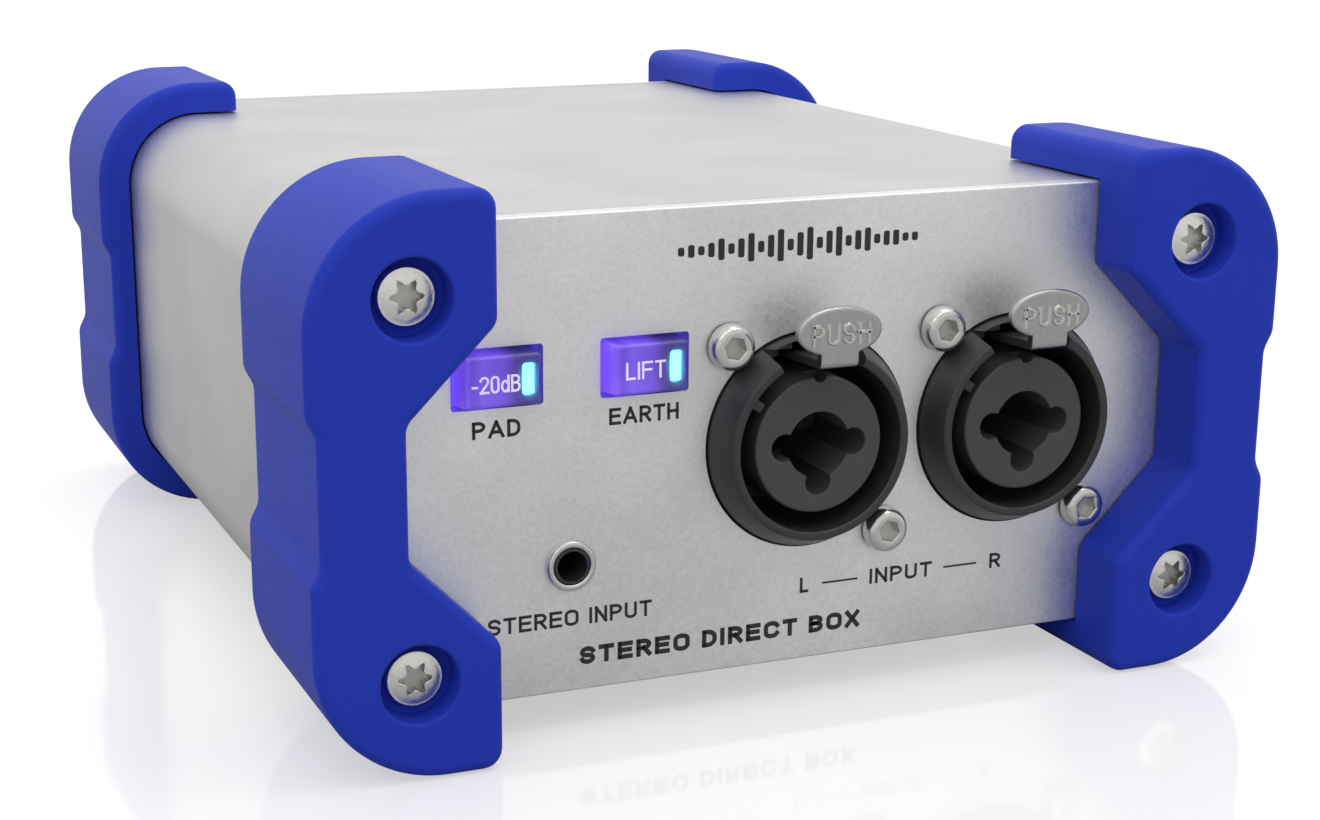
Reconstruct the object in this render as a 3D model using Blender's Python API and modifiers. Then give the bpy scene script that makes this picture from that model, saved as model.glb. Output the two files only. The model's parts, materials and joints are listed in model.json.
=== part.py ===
"""Stereo direct injection box: an aluminium case with four corner bumpers.

Metres, +Z up. The front faces -Y and +X is on the viewer's right. The origin is on the
ground, under the middle of the case. Each sub-part is one named object in the collection
"direct_injection_box"; the solids that cut or join them are in "cutters".
"""

import math

import bmesh
import bpy
from mathutils import Matrix

# ---------------------------------------------------------------- fits
GAP = 0.0003             # between two faces that touch
SLIDE_CLEARANCE = 0.00025  # around a button cap in its window
OVERCUT = 0.001          # how far a cutter runs past a face
WELD = 0.000001

# ---------------------------------------------------------------- case
BODY_WIDTH = 0.109
BODY_HEIGHT = 0.0538
BODY_DEPTH = 0.1264      # outer face of the front panel to outer face of the rear panel
BODY_RADIUS = 0.010
SLEEVE_WALL = 0.002
PANEL_THICKNESS = 0.002

# ---------------------------------------------------------------- bumpers
BUMPER_THICKNESS = 0.0045  # over the top, bottom and sides of the case
BUMPER_NOSE = 0.0083       # stands this far beyond the panel
BUMPER_WRAP = 0.0202       # reaches this far back over the case
ARM_REACH = 0.0161         # arm's inboard end, in from the side of the case
WAIST_REACH = 0.0061       # waist's inboard edge, in from the side of the case
WAIST_HALF = 0.0073
RECESS_HALF = 0.0068       # grip recess in the outer side
RECESS_RAMP = 0.0021
RECESS_DEPTH = 0.0011
BUMPER_EDGE = 0.0012

# ---------------------------------------------------------------- bumper screws
SCREW_INSET_X = 0.0068     # screw axis, in from the side of the case
SCREW_INSET_Z = 0.0064     # screw axis, in from the top or bottom of the case
SCREW_SHANK_RADIUS = 0.00175
SCREW_HEAD_RADIUS = 0.00285
SCREW_HEAD_HEIGHT = 0.0021
SCREW_HEAD_SINK = 0.0018   # top of the head below the bumper's face
SCREW_GRIP = 0.009         # length of thread in the sleeve
COUNTERBORE_RADIUS = 0.00435
CROWN_SHARE = 0.55         # domed part of a screw head's height
BOSS_RADIUS = 0.0038
STAR_LOBES = 6
STAR_RADIUS = 0.00125
STAR_SWING = 0.00028
STAR_DEPTH = 0.0010

# ---------------------------------------------------------------- boards
BOARD_THICKNESS = 0.0016
BOARD_SIDE_CLEARANCE = 0.0007
BOARD_END_CLEARANCE = 0.006
RAIL_REACH = 0.0025
RAIL_HEIGHT = 0.0013

# ---------------------------------------------------------------- combination input sockets
INPUT_MIDDLE_X = 0.0146    # halfway between the two input sockets
INPUT_MARGIN = 0.0006      # between their flanges
SOCKET_Z = -0.0005         # from the middle of the case
INSERT_RADIUS = 0.0079
INSERT_FACE = 0.0029       # stands out of the panel
INSERT_SLOT = 0.0021       # ring gap around the insert
INSERT_DEPTH = 0.0120      # the slot's floor, behind the panel's outer face
BEZEL_RIM = 0.0011         # flat front rim around the ring gap
BEZEL_FLARE = 0.0013       # wider than the rim at the panel
BEZEL_FACE = 0.0037
BEZEL_CHAMFER = 0.0004
BEZEL_NOTCH_HALF_ANGLE = 29.0
BEZEL_NOTCH_DEPTH = 0.0024
FLANGE_THICKNESS = 0.0016
FLANGE_MARGIN = 0.0007     # flange beyond the bezel, at each side
BEZEL_SEAT = 0.7           # how far the bezel and the body run into the flange
BODY_SEAT = 0.4
SOCKET_BODY_WALL = 0.0019  # beside the ring gap
SOCKET_BODY_CROWN = 0.0035  # over the ring gap
SOCKET_BODY_DEPTH = 0.0300
JACK_HOLE_RADIUS = 0.0034
PIN_HOLE_RADIUS = 0.0015
PIN_CIRCLE = 0.0042
PIN_ANGLES = (180.0, 0.0, 270.0)
PIN_HOLE_DEPTH = 0.0125
SOCKET_SCREW_SLANT = 49.2  # degrees up from level, seen from the socket's axis
SOCKET_SCREW_CLEARANCE = 0.00027  # between a screw's head and the bezel
SOCKET_SCREW_HEAD_RADIUS = 0.00265
SOCKET_SCREW_HEAD_HEIGHT = 0.0017
SOCKET_SCREW_SHANK_RADIUS = 0.0012
HEX_RADIUS = 0.00115
HEX_DEPTH = 0.0010

# ---------------------------------------------------------------- latch levers
LATCH_THICKNESS = 0.0010
LATCH_HALF_WIDTH = 0.0052
LATCH_HALF_HEIGHT = 0.0028
LATCH_TAB_RISE = 0.0059    # middle of the tab above the insert
LATCH_TAB_OUT = 0.0064     # rear face of the tab, out of the panel
LATCH_NECK_HALF = 0.00245
LATCH_ARM_RISE = 0.0012    # underside of the arm above the insert
LATCH_PIVOT_DEPTH = 0.0085
LATCH_EYE_RADIUS = 0.00115
LATCH_PIN_RADIUS = 0.0005
LATCH_LIFT = 0.0016        # free height over the arm
LATCH_SIDE_CLEARANCE = 0.0004

# ---------------------------------------------------------------- push buttons
BUTTON_MARGIN = 0.0020     # between the right button and the left socket's flange
BUTTON_PITCH = 0.0171
BUTTON_Z = 0.0098          # from the middle of the case
BUTTON_HALF_WIDTH = 0.0050
BUTTON_HALF_HEIGHT = 0.0031
BUTTON_FACE = 0.0022       # stands out of the panel
BUTTON_DRAFT = 0.0004
BUTTON_DISH = 0.0004
BUTTON_BACK = 0.0035       # reaches this far behind the panel's outer face
BUTTON_TRAVEL = 0.0018
BUTTON_LIP = 0.0007        # keeps the cap behind the panel
STEM_HALF = 0.0015
STEM_LENGTH = 0.0055
LIGHT_X = 0.0030           # light bar from the cap's middle
LIGHT_HALF_WIDTH = 0.0008
LIGHT_HALF_HEIGHT = 0.0017
LIGHT_POCKET_DEPTH = 0.0026
SWITCH_HALF_WIDTH = 0.0054
SWITCH_HALF_HEIGHT = 0.0042
SWITCH_BOARD_DEPTH = 0.0185  # front of the board behind the panel's outer face
SWITCH_BOARD_MARGIN = 0.0040

# ---------------------------------------------------------------- small stereo jack
MINI_JACK_OFFSET = 0.0088  # left of the right button's middle
MINI_HOLE_RADIUS = 0.0018
MINI_BARREL_RADIUS = 0.0021
MINI_NUT_RADIUS = 0.0029
MINI_NUT_OUT = 0.0007
MINI_BODY_HALF = 0.0024    # half the height of the body
MINI_BODY_HALF_WIDTH = 0.0032
MINI_BODY_DEPTH = 0.0140

# ---------------------------------------------------------------- rear connectors
OUTPUT_MARGIN = 0.0022     # between the flanges of the two output sockets
CUP_RIM = 0.0015           # flat rim around an output's cup
CUP_DEPTH = 0.0120
OUTPUT_FACE = 0.0024
OUTPUT_BODY_DEPTH = 0.0220
CONTACT_RADIUS = 0.0012
CONTACT_OUT = 0.0012       # the pins' tips, behind the cup's rim
CONTACT_TAIL = 0.0040
LINK_MARGIN = 0.0012       # between a link jack and its neighbour's flange
LINK_HOLE_RADIUS = 0.0033
LINK_BARREL_RADIUS = 0.0046
LINK_BARREL_OUT = 0.0036
LINK_NUT_RADIUS = 0.0066
LINK_NUT_THICKNESS = 0.0022
LINK_BODY_HALF = 0.0075
LINK_BODY_DEPTH = 0.0240

# ---------------------------------------------------------------- parts on the main board
TRANSFORMER_X = {"left": -0.0200, "right": 0.0200}
TRANSFORMER_HALF = 0.0110
TRANSFORMER_HEIGHT = 0.0150
TRANSFORMER_Y = 0.0080
CAPACITOR_RADIUS = 0.0040
CAPACITOR_HEIGHT = 0.0110
CAPACITOR_X = 0.0420
CAPACITOR_PITCH = 0.0140

# ---------------------------------------------------------------- round shapes
FINE_STEPS = 40
ROUND_STEPS = 16
SMALL_STEPS = 8
CORNER_STEPS = 6
CROWN_STEPS = 3
EDGE_STEPS = 2
DISH_STEPS = 128
HEX_SIDES = 6
STAR_POINTS = 2           # outline points for each lobe of the star recess
SHARP_ANGLE = math.radians(35)

# ---------------------------------------------------------------- worked out from the sizes
FRONT = -1
REAR = 1
HALF_DEPTH = BODY_DEPTH / 2
HALF_WIDTH = BODY_WIDTH / 2
HALF_HEIGHT = BODY_HEIGHT / 2
MIDDLE_Z = HALF_HEIGHT + BUMPER_THICKNESS
SCREW_X = HALF_WIDTH - SCREW_INSET_X
SCREW_Z = HALF_HEIGHT - SCREW_INSET_Z
BOARD_BOTTOM = -HALF_HEIGHT + SCREW_INSET_Z + BOSS_RADIUS + GAP
BOARD_TOP = BOARD_BOTTOM + BOARD_THICKNESS
BOARD_HALF_WIDTH = HALF_WIDTH - SLEEVE_WALL - BOARD_SIDE_CLEARANCE
PANEL_BACK = PANEL_THICKNESS + GAP
SLOT_RADIUS = INSERT_RADIUS + INSERT_SLOT
BEZEL_FRONT_RADIUS = SLOT_RADIUS + BEZEL_RIM
BEZEL_RADIUS = BEZEL_FRONT_RADIUS + BEZEL_FLARE
CUP_RADIUS = BEZEL_FRONT_RADIUS - CUP_RIM
FLANGE_HALF_WIDTH = BEZEL_RADIUS + FLANGE_MARGIN
SOCKET_BODY_HALF_WIDTH = SLOT_RADIUS + SOCKET_BODY_WALL
SOCKET_BODY_TOP = SLOT_RADIUS + SOCKET_BODY_CROWN
SOCKET_BODY_BOTTOM = BOARD_TOP + GAP
SOCKET_SCREW_CIRCLE = BEZEL_RADIUS + SOCKET_SCREW_HEAD_RADIUS + SOCKET_SCREW_CLEARANCE
SOCKET_SCREW_X = SOCKET_SCREW_CIRCLE * math.cos(math.radians(SOCKET_SCREW_SLANT))
SOCKET_SCREW_Z = SOCKET_SCREW_CIRCLE * math.sin(math.radians(SOCKET_SCREW_SLANT))
LATCH_TAB_Z = INSERT_RADIUS + LATCH_TAB_RISE
INPUT_REACH = FLANGE_HALF_WIDTH + INPUT_MARGIN / 2
INPUT_X = {"left": INPUT_MIDDLE_X - INPUT_REACH, "right": INPUT_MIDDLE_X + INPUT_REACH}
OUTPUT_REACH = FLANGE_HALF_WIDTH + OUTPUT_MARGIN / 2
OUTPUT_X = {"left": -OUTPUT_REACH, "right": OUTPUT_REACH}
LINK_REACH = OUTPUT_REACH + FLANGE_HALF_WIDTH + LINK_MARGIN + LINK_BODY_HALF
LINK_X = {"left": -LINK_REACH, "right": LINK_REACH}
LIFT_X = INPUT_X["left"] - FLANGE_HALF_WIDTH - BUTTON_MARGIN - BUTTON_HALF_WIDTH
BUTTON_X = {"pad": LIFT_X - BUTTON_PITCH, "lift": LIFT_X}
MINI_JACK_X = LIFT_X - MINI_JACK_OFFSET
SWITCH_FRONT = BUTTON_BACK + BUTTON_TRAVEL + GAP
MINI_JACK_Z = BOARD_TOP + GAP + MINI_BODY_HALF
LATCH_ARM_BOTTOM = SOCKET_Z + INSERT_RADIUS + LATCH_ARM_RISE
LATCH_ARM_TOP = LATCH_ARM_BOTTOM + LATCH_THICKNESS
LATCH_PIVOT_Z = LATCH_ARM_BOTTOM + LATCH_THICKNESS / 2

MATERIALS = {
    "anodised_sleeve": ((0.62, 0.62, 0.61), 0.42, 1.0),
    "anodised_panel": ((0.58, 0.58, 0.58), 0.45, 1.0),
    "blue_bumper": ((0.030, 0.045, 0.42), 0.38, 0.0),
    "zinc_screw": ((0.66, 0.66, 0.64), 0.30, 1.0),
    "socket_plastic": ((0.030, 0.030, 0.032), 0.42, 0.0),
    "insert_plastic": ((0.045, 0.045, 0.047), 0.50, 0.0),
    "nickel": ((0.70, 0.69, 0.67), 0.22, 1.0),
    "violet_cap": ((0.16, 0.06, 0.55), 0.25, 0.0),
    "light_bar": ((0.35, 0.90, 1.00), 0.30, 0.0),
    "switch_plastic": ((0.04, 0.04, 0.04), 0.55, 0.0),
    "circuit_board": ((0.02, 0.16, 0.06), 0.45, 0.0),
    "gold_contact": ((0.80, 0.60, 0.22), 0.25, 1.0),
    "steel_can": ((0.50, 0.50, 0.50), 0.40, 1.0),
    "capacitor_sleeve": ((0.02, 0.03, 0.06), 0.40, 0.0),
}


# ================================================================ scene
def clear_scene():
    for item in list(bpy.data.objects):
        bpy.data.objects.remove(item, do_unlink=True)


def new_collection(name):
    collection = bpy.data.collections.new(name)
    bpy.context.scene.collection.children.link(collection)
    return collection


def material(name):
    found = bpy.data.materials.get(name)
    if found:
        return found
    colour, roughness, metallic = MATERIALS[name]
    made = bpy.data.materials.new(name)
    made.use_nodes = True
    shader = made.node_tree.nodes["Principled BSDF"]
    shader.inputs["Base Color"].default_value = (*colour, 1.0)
    shader.inputs["Roughness"].default_value = roughness
    shader.inputs["Metallic"].default_value = metallic
    return made


clear_scene()
PARTS = new_collection("direct_injection_box")
CUTTERS = new_collection("cutters")


def add_object(name, mesh, finish=None):
    """A finish makes the object a part; without one it is a cutter or a joined solid."""
    item = bpy.data.objects.new(name, mesh)
    if finish is None:
        CUTTERS.objects.link(item)
        item.hide_render = True
        item.display_type = "WIRE"
        return item
    PARTS.objects.link(item)
    mesh.materials.append(material(finish))
    return item


def boolean(target, tool, operation="DIFFERENCE"):
    modifier = target.modifiers.new(f"{operation.lower()}_{tool.name}", "BOOLEAN")
    modifier.operation = operation
    modifier.object = tool
    modifier.solver = "EXACT"


def cut(target, *tools):
    for tool in tools:
        boolean(target, tool)


def join(target, *tools):
    for tool in tools:
        boolean(target, tool, "UNION")


def shade(mesh):
    mesh.shade_smooth()
    mesh.set_sharp_from_angle(angle=SHARP_ANGLE)


# ================================================================ outlines, as (across, up) points
def arc(centre, radius, start, end, steps):
    """Points on an arc, angles in degrees, both ends included."""
    points = []
    for step in range(steps + 1):
        angle = math.radians(start + (end - start) * step / steps)
        across = centre[0] + radius * math.cos(angle)
        points.append((across, centre[1] + radius * math.sin(angle)))
    return points


def circle(radius, steps, centre=(0.0, 0.0)):
    return arc(centre, radius, 0.0, 360.0, steps)[:-1]


def rounded_rectangle(half_width, half_height, radius, centre=(0.0, 0.0), steps=CORNER_STEPS):
    points = []
    for index, (side, level) in enumerate(((1, 1), (-1, 1), (-1, -1), (1, -1))):
        corner = (centre[0] + side * (half_width - radius), centre[1] + level * (half_height - radius))
        points += arc(corner, radius, 90.0 * index, 90.0 * (index + 1), steps)
    return points


def bumper_outline(side):
    """C-shaped outline of a bumper on the right (side 1) or left (side -1)."""
    outer_x = HALF_WIDTH + BUMPER_THICKNESS
    outer_z = HALF_HEIGHT + BUMPER_THICKNESS
    radius = BODY_RADIUS + BUMPER_THICKNESS
    arm_x = HALF_WIDTH - ARM_REACH
    waist_x = HALF_WIDTH - WAIST_REACH
    arm_z = WAIST_HALF + waist_x - arm_x
    lower = [(arm_x, -outer_z)]
    lower += arc((outer_x - radius, -outer_z + radius), radius, 270.0, 360.0, CORNER_STEPS)
    lower += [(outer_x, -RECESS_HALF - RECESS_RAMP), (outer_x - RECESS_DEPTH, -RECESS_HALF)]
    upper = [(across, -up) for across, up in reversed(lower)]
    inner = [(arm_x, arm_z), (waist_x, WAIST_HALF), (waist_x, -WAIST_HALF), (arm_x, -arm_z)]
    return [(side * across, up) for across, up in lower + upper + inner]


def star_outline():
    points = []
    count = STAR_LOBES * STAR_POINTS
    for step in range(count):
        angle = math.tau * step / count
        radius = STAR_RADIUS + STAR_SWING * math.cos(STAR_LOBES * angle)
        points.append((radius * math.cos(angle), radius * math.sin(angle)))
    return points


# ================================================================ solids
def extruded(name, loops, depth_from, depth_to, place=(0.0, 0.0), end=FRONT, finish=None):
    """Flat outline in the XZ plane, thick along Y.

    Depths count outwards from the panel's outer face at that end of the case, and the
    outline is seen from the front. place is its (x, z) from the middle of the case.
    """
    curve = bpy.data.curves.new(name, "CURVE")
    curve.dimensions = "2D"
    curve.fill_mode = "BOTH"
    curve.extrude = abs(depth_to - depth_from) / 2
    for loop in loops:
        spline = curve.splines.new("POLY")
        spline.points.add(len(loop) - 1)
        for point, (across, up) in zip(spline.points, loop):
            point.co = (across, up, 0.0, 1.0)
        spline.use_cyclic_u = True
    guide = bpy.data.objects.new(name + "_outline", curve)
    bpy.context.scene.collection.objects.link(guide)
    graph = bpy.context.evaluated_depsgraph_get()
    mesh = bpy.data.meshes.new_from_object(guide.evaluated_get(graph))
    bpy.data.objects.remove(guide, do_unlink=True)
    tidy(mesh)
    item = add_object(name, mesh, finish)
    item.rotation_euler = (math.pi / 2, 0.0, 0.0)
    middle = end * (HALF_DEPTH + (depth_from + depth_to) / 2)
    item.location = (place[0], middle, MIDDLE_Z + place[1])
    return item


def tidy(mesh):
    """Welds an outline's caps to its sides and turns its faces out."""
    shell = bmesh.new()
    shell.from_mesh(mesh)
    bmesh.ops.remove_doubles(shell, verts=shell.verts, dist=WELD)
    bmesh.ops.recalc_face_normals(shell, faces=shell.faces)
    shell.to_mesh(mesh)
    shell.free()
    shade(mesh)


def turned(name, profile, place=(0.0, 0.0), end=FRONT, finish=None, steps=ROUND_STEPS, closed=False):
    """Solid turned about a line along Y through place.

    The profile's points are (radius, depth outwards from the panel's outer face). It
    starts at the front on the axis and runs down its outer side, or is a closed ring.
    """
    mesh = bpy.data.meshes.new(name)
    shell = bmesh.new()
    corners = [shell.verts.new((radius, 0.0, height)) for radius, height in profile]
    pairs = list(zip(corners, corners[1:]))
    if closed:
        pairs.append((corners[-1], corners[0]))
    for first, second in pairs:
        shell.edges.new((first, second))
    shell.to_mesh(mesh)
    shell.free()
    item = add_object(name, mesh, finish)
    screw = item.modifiers.new("turn", "SCREW")
    screw.axis = "Z"
    screw.steps = steps
    screw.render_steps = steps
    screw.use_merge_vertices = True
    screw.merge_threshold = WELD
    screw.use_smooth_shade = False
    item.rotation_euler = (-end * math.pi / 2, 0.0, 0.0)
    item.location = (place[0], end * HALF_DEPTH, MIDDLE_Z + place[1])
    return item


def rod(name, radius, front, back, place=(0.0, 0.0), end=FRONT, finish=None, steps=ROUND_STEPS):
    """Plain round bar between two depths."""
    profile = [(0.0, front), (radius, front), (radius, back), (0.0, back)]
    return turned(name, profile, place, end, finish, steps)


def block(name, low, high, end=FRONT, finish=None):
    """Box between two corners (x, depth outwards from the panel's face, z from the middle)."""
    shell = bmesh.new()
    bmesh.ops.create_cube(shell, size=1.0)
    size = [abs(high[axis] - low[axis]) for axis in range(3)]
    bmesh.ops.transform(shell, matrix=Matrix.Diagonal((*size, 1.0)), verts=shell.verts)
    mesh = bpy.data.meshes.new(name)
    shell.to_mesh(mesh)
    shell.free()
    item = add_object(name, mesh, finish)
    middle = [(low[axis] + high[axis]) / 2 for axis in range(3)]
    item.location = (middle[0], end * (HALF_DEPTH + middle[1]), MIDDLE_Z + middle[2])
    return item


def bevel(item, width, segments=EDGE_STEPS):
    modifier = item.modifiers.new("edges", "BEVEL")
    modifier.width = width
    modifier.segments = segments
    modifier.limit_method = "ANGLE"
    modifier.angle_limit = SHARP_ANGLE


# ================================================================ case
def screw_places():
    """(x, z) of the four bumper screws at one end, from the middle of the case."""
    return [(side * SCREW_X, level * SCREW_Z) for side in (-1, 1) for level in (-1, 1)]


def build_sleeve():
    outer = rounded_rectangle(HALF_WIDTH, HALF_HEIGHT, BODY_RADIUS)
    inner = rounded_rectangle(
        HALF_WIDTH - SLEEVE_WALL, HALF_HEIGHT - SLEEVE_WALL, BODY_RADIUS - SLEEVE_WALL
    )
    far = -BODY_DEPTH + PANEL_BACK
    sleeve = extruded("body_sleeve", [outer, inner], -PANEL_BACK, far, finish="anodised_sleeve")
    for index, place in enumerate(screw_places()):
        join(sleeve, rod(f"boss_{index}", BOSS_RADIUS, -PANEL_BACK, far, place))
    wall = HALF_WIDTH - SLEEVE_WALL
    for side in (-1, 1):
        for level, z in (("lower", BOARD_BOTTOM - GAP - RAIL_HEIGHT), ("upper", BOARD_TOP + GAP)):
            low = (side * (wall - RAIL_REACH), far, z)
            high = (side * (wall + SLEEVE_WALL / 2), -PANEL_BACK, z + RAIL_HEIGHT)
            join(sleeve, block(f"rail_{level}_{side}", low, high))
    for index, place in enumerate(screw_places()):
        radius = SCREW_SHANK_RADIUS + GAP
        cut(sleeve, rod(f"thread_{index}", radius, OVERCUT, -BODY_DEPTH - OVERCUT, place))


def panel_screw_holes(end):
    holes = []
    for index, place in enumerate(screw_places()):
        radius = SCREW_SHANK_RADIUS + GAP
        hole = rod(f"panel_hole_{end}_{index}", radius, OVERCUT, -PANEL_BACK, place, end, steps=SMALL_STEPS)
        holes.append(hole)
    return holes


def socket_holes(name, x, end):
    """Barrel hole and the two screw holes that one round socket needs in its panel."""
    place = (x, SOCKET_Z)
    holes = [rod(f"{name}_barrel_hole", BEZEL_RADIUS + GAP, OVERCUT, -PANEL_BACK, place, end, steps=FINE_STEPS)]
    for index, spot in enumerate(socket_screw_places(x)):
        radius = SOCKET_SCREW_SHANK_RADIUS + GAP
        holes.append(rod(f"{name}_screw_hole_{index}", radius, OVERCUT, -PANEL_BACK, spot, end, steps=SMALL_STEPS))
    return holes


def socket_screw_places(x):
    return [
        (x - SOCKET_SCREW_X, SOCKET_Z + SOCKET_SCREW_Z),
        (x + SOCKET_SCREW_X, SOCKET_Z - SOCKET_SCREW_Z),
    ]


def build_panels():
    outline = rounded_rectangle(HALF_WIDTH, HALF_HEIGHT, BODY_RADIUS)
    front = extruded("front_panel", [outline], 0.0, -PANEL_THICKNESS, finish="anodised_panel")
    cut(front, *panel_screw_holes(FRONT))
    for side, x in INPUT_X.items():
        cut(front, *socket_holes(f"input_{side}", x, FRONT))
    for name, x in BUTTON_X.items():
        half_width = BUTTON_HALF_WIDTH + SLIDE_CLEARANCE
        half_height = BUTTON_HALF_HEIGHT + SLIDE_CLEARANCE
        low = (x - half_width, -PANEL_BACK, BUTTON_Z - half_height)
        high = (x + half_width, OVERCUT, BUTTON_Z + half_height)
        cut(front, block(f"{name}_window", low, high))
    mini = (MINI_JACK_X, MINI_JACK_Z)
    cut(front, rod("mini_jack_hole", MINI_BARREL_RADIUS + GAP, OVERCUT, -PANEL_BACK, mini))
    rear = extruded(
        "rear_panel", [outline], 0.0, -PANEL_THICKNESS, end=REAR, finish="anodised_panel"
    )
    cut(rear, *panel_screw_holes(REAR))
    for side, x in OUTPUT_X.items():
        cut(rear, *socket_holes(f"output_{side}", x, REAR))
    for side, x in LINK_X.items():
        radius = LINK_BARREL_RADIUS + GAP
        cut(rear, rod(f"link_{side}_hole", radius, OVERCUT, -PANEL_BACK, (x, SOCKET_Z), REAR))


# ================================================================ bumpers and their screws
def build_bumpers():
    case_loop = rounded_rectangle(HALF_WIDTH + GAP, HALF_HEIGHT + GAP, BODY_RADIUS + GAP)
    case_space = extruded("case_space", [case_loop], GAP, -BODY_DEPTH - GAP)
    head_floor = BUMPER_NOSE - SCREW_HEAD_SINK - SCREW_HEAD_HEIGHT - GAP
    bore = [
        (0.0, BUMPER_NOSE + OVERCUT),
        (COUNTERBORE_RADIUS, BUMPER_NOSE + OVERCUT),
        (COUNTERBORE_RADIUS, head_floor),
        (SCREW_SHANK_RADIUS + GAP, head_floor),
        (SCREW_SHANK_RADIUS + GAP, -OVERCUT),
        (0.0, -OVERCUT),
    ]
    for end, end_name in ((FRONT, "front"), (REAR, "rear")):
        for side, side_name in ((-1, "left"), (1, "right")):
            name = f"bumper_{end_name}_{side_name}"
            bumper = extruded(
                name, [bumper_outline(side)], BUMPER_NOSE, -BUMPER_WRAP, end=end, finish="blue_bumper"
            )
            bevel(bumper, BUMPER_EDGE)
            cut(bumper, case_space)
            for level, level_name in ((-1, "lower"), (1, "upper")):
                place = (side * SCREW_X, level * SCREW_Z)
                label = f"{end_name}_{side_name}_{level_name}"
                cut(bumper, turned(f"counterbore_{label}", bore, place, end))
                build_bumper_screw(f"bumper_screw_{label}", place, end)


def button_head_profile(radius, top, height, shank_radius, tip, edge):
    """Half profile of a domed screw: crown, rim, underside, shank and tip."""
    crown = CROWN_SHARE * height
    points = [(0.0, top)]
    for step in range(1, CROWN_STEPS + 1):
        angle = math.radians(90.0 * step / CROWN_STEPS)
        points.append((radius * math.sin(angle), top - crown * (1.0 - math.cos(angle))))
    points += [(radius, top - height), (shank_radius, top - height)]
    points += [(shank_radius, tip + edge), (shank_radius - edge, tip), (0.0, tip)]
    return points


def build_bumper_screw(name, place, end):
    top = BUMPER_NOSE - SCREW_HEAD_SINK
    tip = -PANEL_BACK - SCREW_GRIP
    profile = button_head_profile(
        SCREW_HEAD_RADIUS, top, SCREW_HEAD_HEIGHT, SCREW_SHANK_RADIUS, tip, SCREW_SHANK_RADIUS / 3
    )
    screw = turned(name, profile, place, end, finish="zinc_screw")
    cut(screw, extruded(f"{name}_star", [star_outline()], top + OVERCUT, top - STAR_DEPTH, place, end))


# ================================================================ round sockets
def socket_shell(name, x, end, face, slot_radius, slot_depth, body_depth):
    """Bezel, flange and body of a round panel socket, with its ring gap or cup cut out."""
    place = (x, SOCKET_Z)
    seat = -PANEL_BACK - BEZEL_SEAT * FLANGE_THICKNESS
    bezel = [
        (0.0, face),
        (BEZEL_FRONT_RADIUS - BEZEL_CHAMFER, face),
        (BEZEL_FRONT_RADIUS, face - BEZEL_CHAMFER),
        (BEZEL_RADIUS, BEZEL_CHAMFER),
        (BEZEL_RADIUS, seat),
        (0.0, seat),
    ]
    shell = turned(name, bezel, place, end, finish="socket_plastic", steps=FINE_STEPS)
    bottom = SOCKET_BODY_BOTTOM
    top = SOCKET_Z + SOCKET_BODY_TOP + FLANGE_THICKNESS
    flange = block(
        f"{name}_flange",
        (x - FLANGE_HALF_WIDTH, -PANEL_BACK - FLANGE_THICKNESS, bottom + GAP),
        (x + FLANGE_HALF_WIDTH, -PANEL_BACK, top),
        end,
    )
    body = block(
        f"{name}_body",
        (x - SOCKET_BODY_HALF_WIDTH, -body_depth, bottom),
        (x + SOCKET_BODY_HALF_WIDTH, -PANEL_BACK - BODY_SEAT * FLANGE_THICKNESS, SOCKET_Z + SOCKET_BODY_TOP),
        end,
    )
    join(shell, flange, body)
    cut(shell, rod(f"{name}_cup", slot_radius, face + OVERCUT, -slot_depth, place, end, steps=FINE_STEPS))
    for index, spot in enumerate(socket_screw_places(x)):
        radius = SOCKET_SCREW_SHANK_RADIUS + GAP
        hole = rod(f"{name}_thread_{index}", radius, OVERCUT, -socket_screw_reach(), spot, end, steps=SMALL_STEPS)
        cut(shell, hole)
    return shell


def socket_screw_reach():
    return PANEL_BACK + FLANGE_THICKNESS + 2 * OVERCUT


def build_socket_screws(name, x, end):
    for spot, level in zip(socket_screw_places(x), ("upper", "lower")):
        top = SOCKET_SCREW_HEAD_HEIGHT + GAP
        tip = -socket_screw_reach() + OVERCUT
        profile = button_head_profile(
            SOCKET_SCREW_HEAD_RADIUS, top, SOCKET_SCREW_HEAD_HEIGHT, SOCKET_SCREW_SHANK_RADIUS,
            tip, SOCKET_SCREW_SHANK_RADIUS / 3,
        )
        screw = turned(f"{name}_screw_{level}", profile, spot, end, finish="nickel")
        cut(screw, rod(f"{name}_hex_{level}", HEX_RADIUS, top + OVERCUT, top - HEX_DEPTH, spot, end, steps=HEX_SIDES))


def notch_outline():
    """Wedge cut out of the top of the bezel for the latch."""
    reach = BEZEL_RADIUS + OVERCUT
    spread = BEZEL_NOTCH_HALF_ANGLE
    outer = arc((0.0, 0.0), reach / math.cos(math.radians(spread)), 90.0 - spread, 90.0 + spread, CORNER_STEPS)
    inner = arc((0.0, 0.0), INSERT_RADIUS + INSERT_SLOT / 2, 90.0 + spread, 90.0 - spread, CORNER_STEPS)
    return outer + inner


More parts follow.
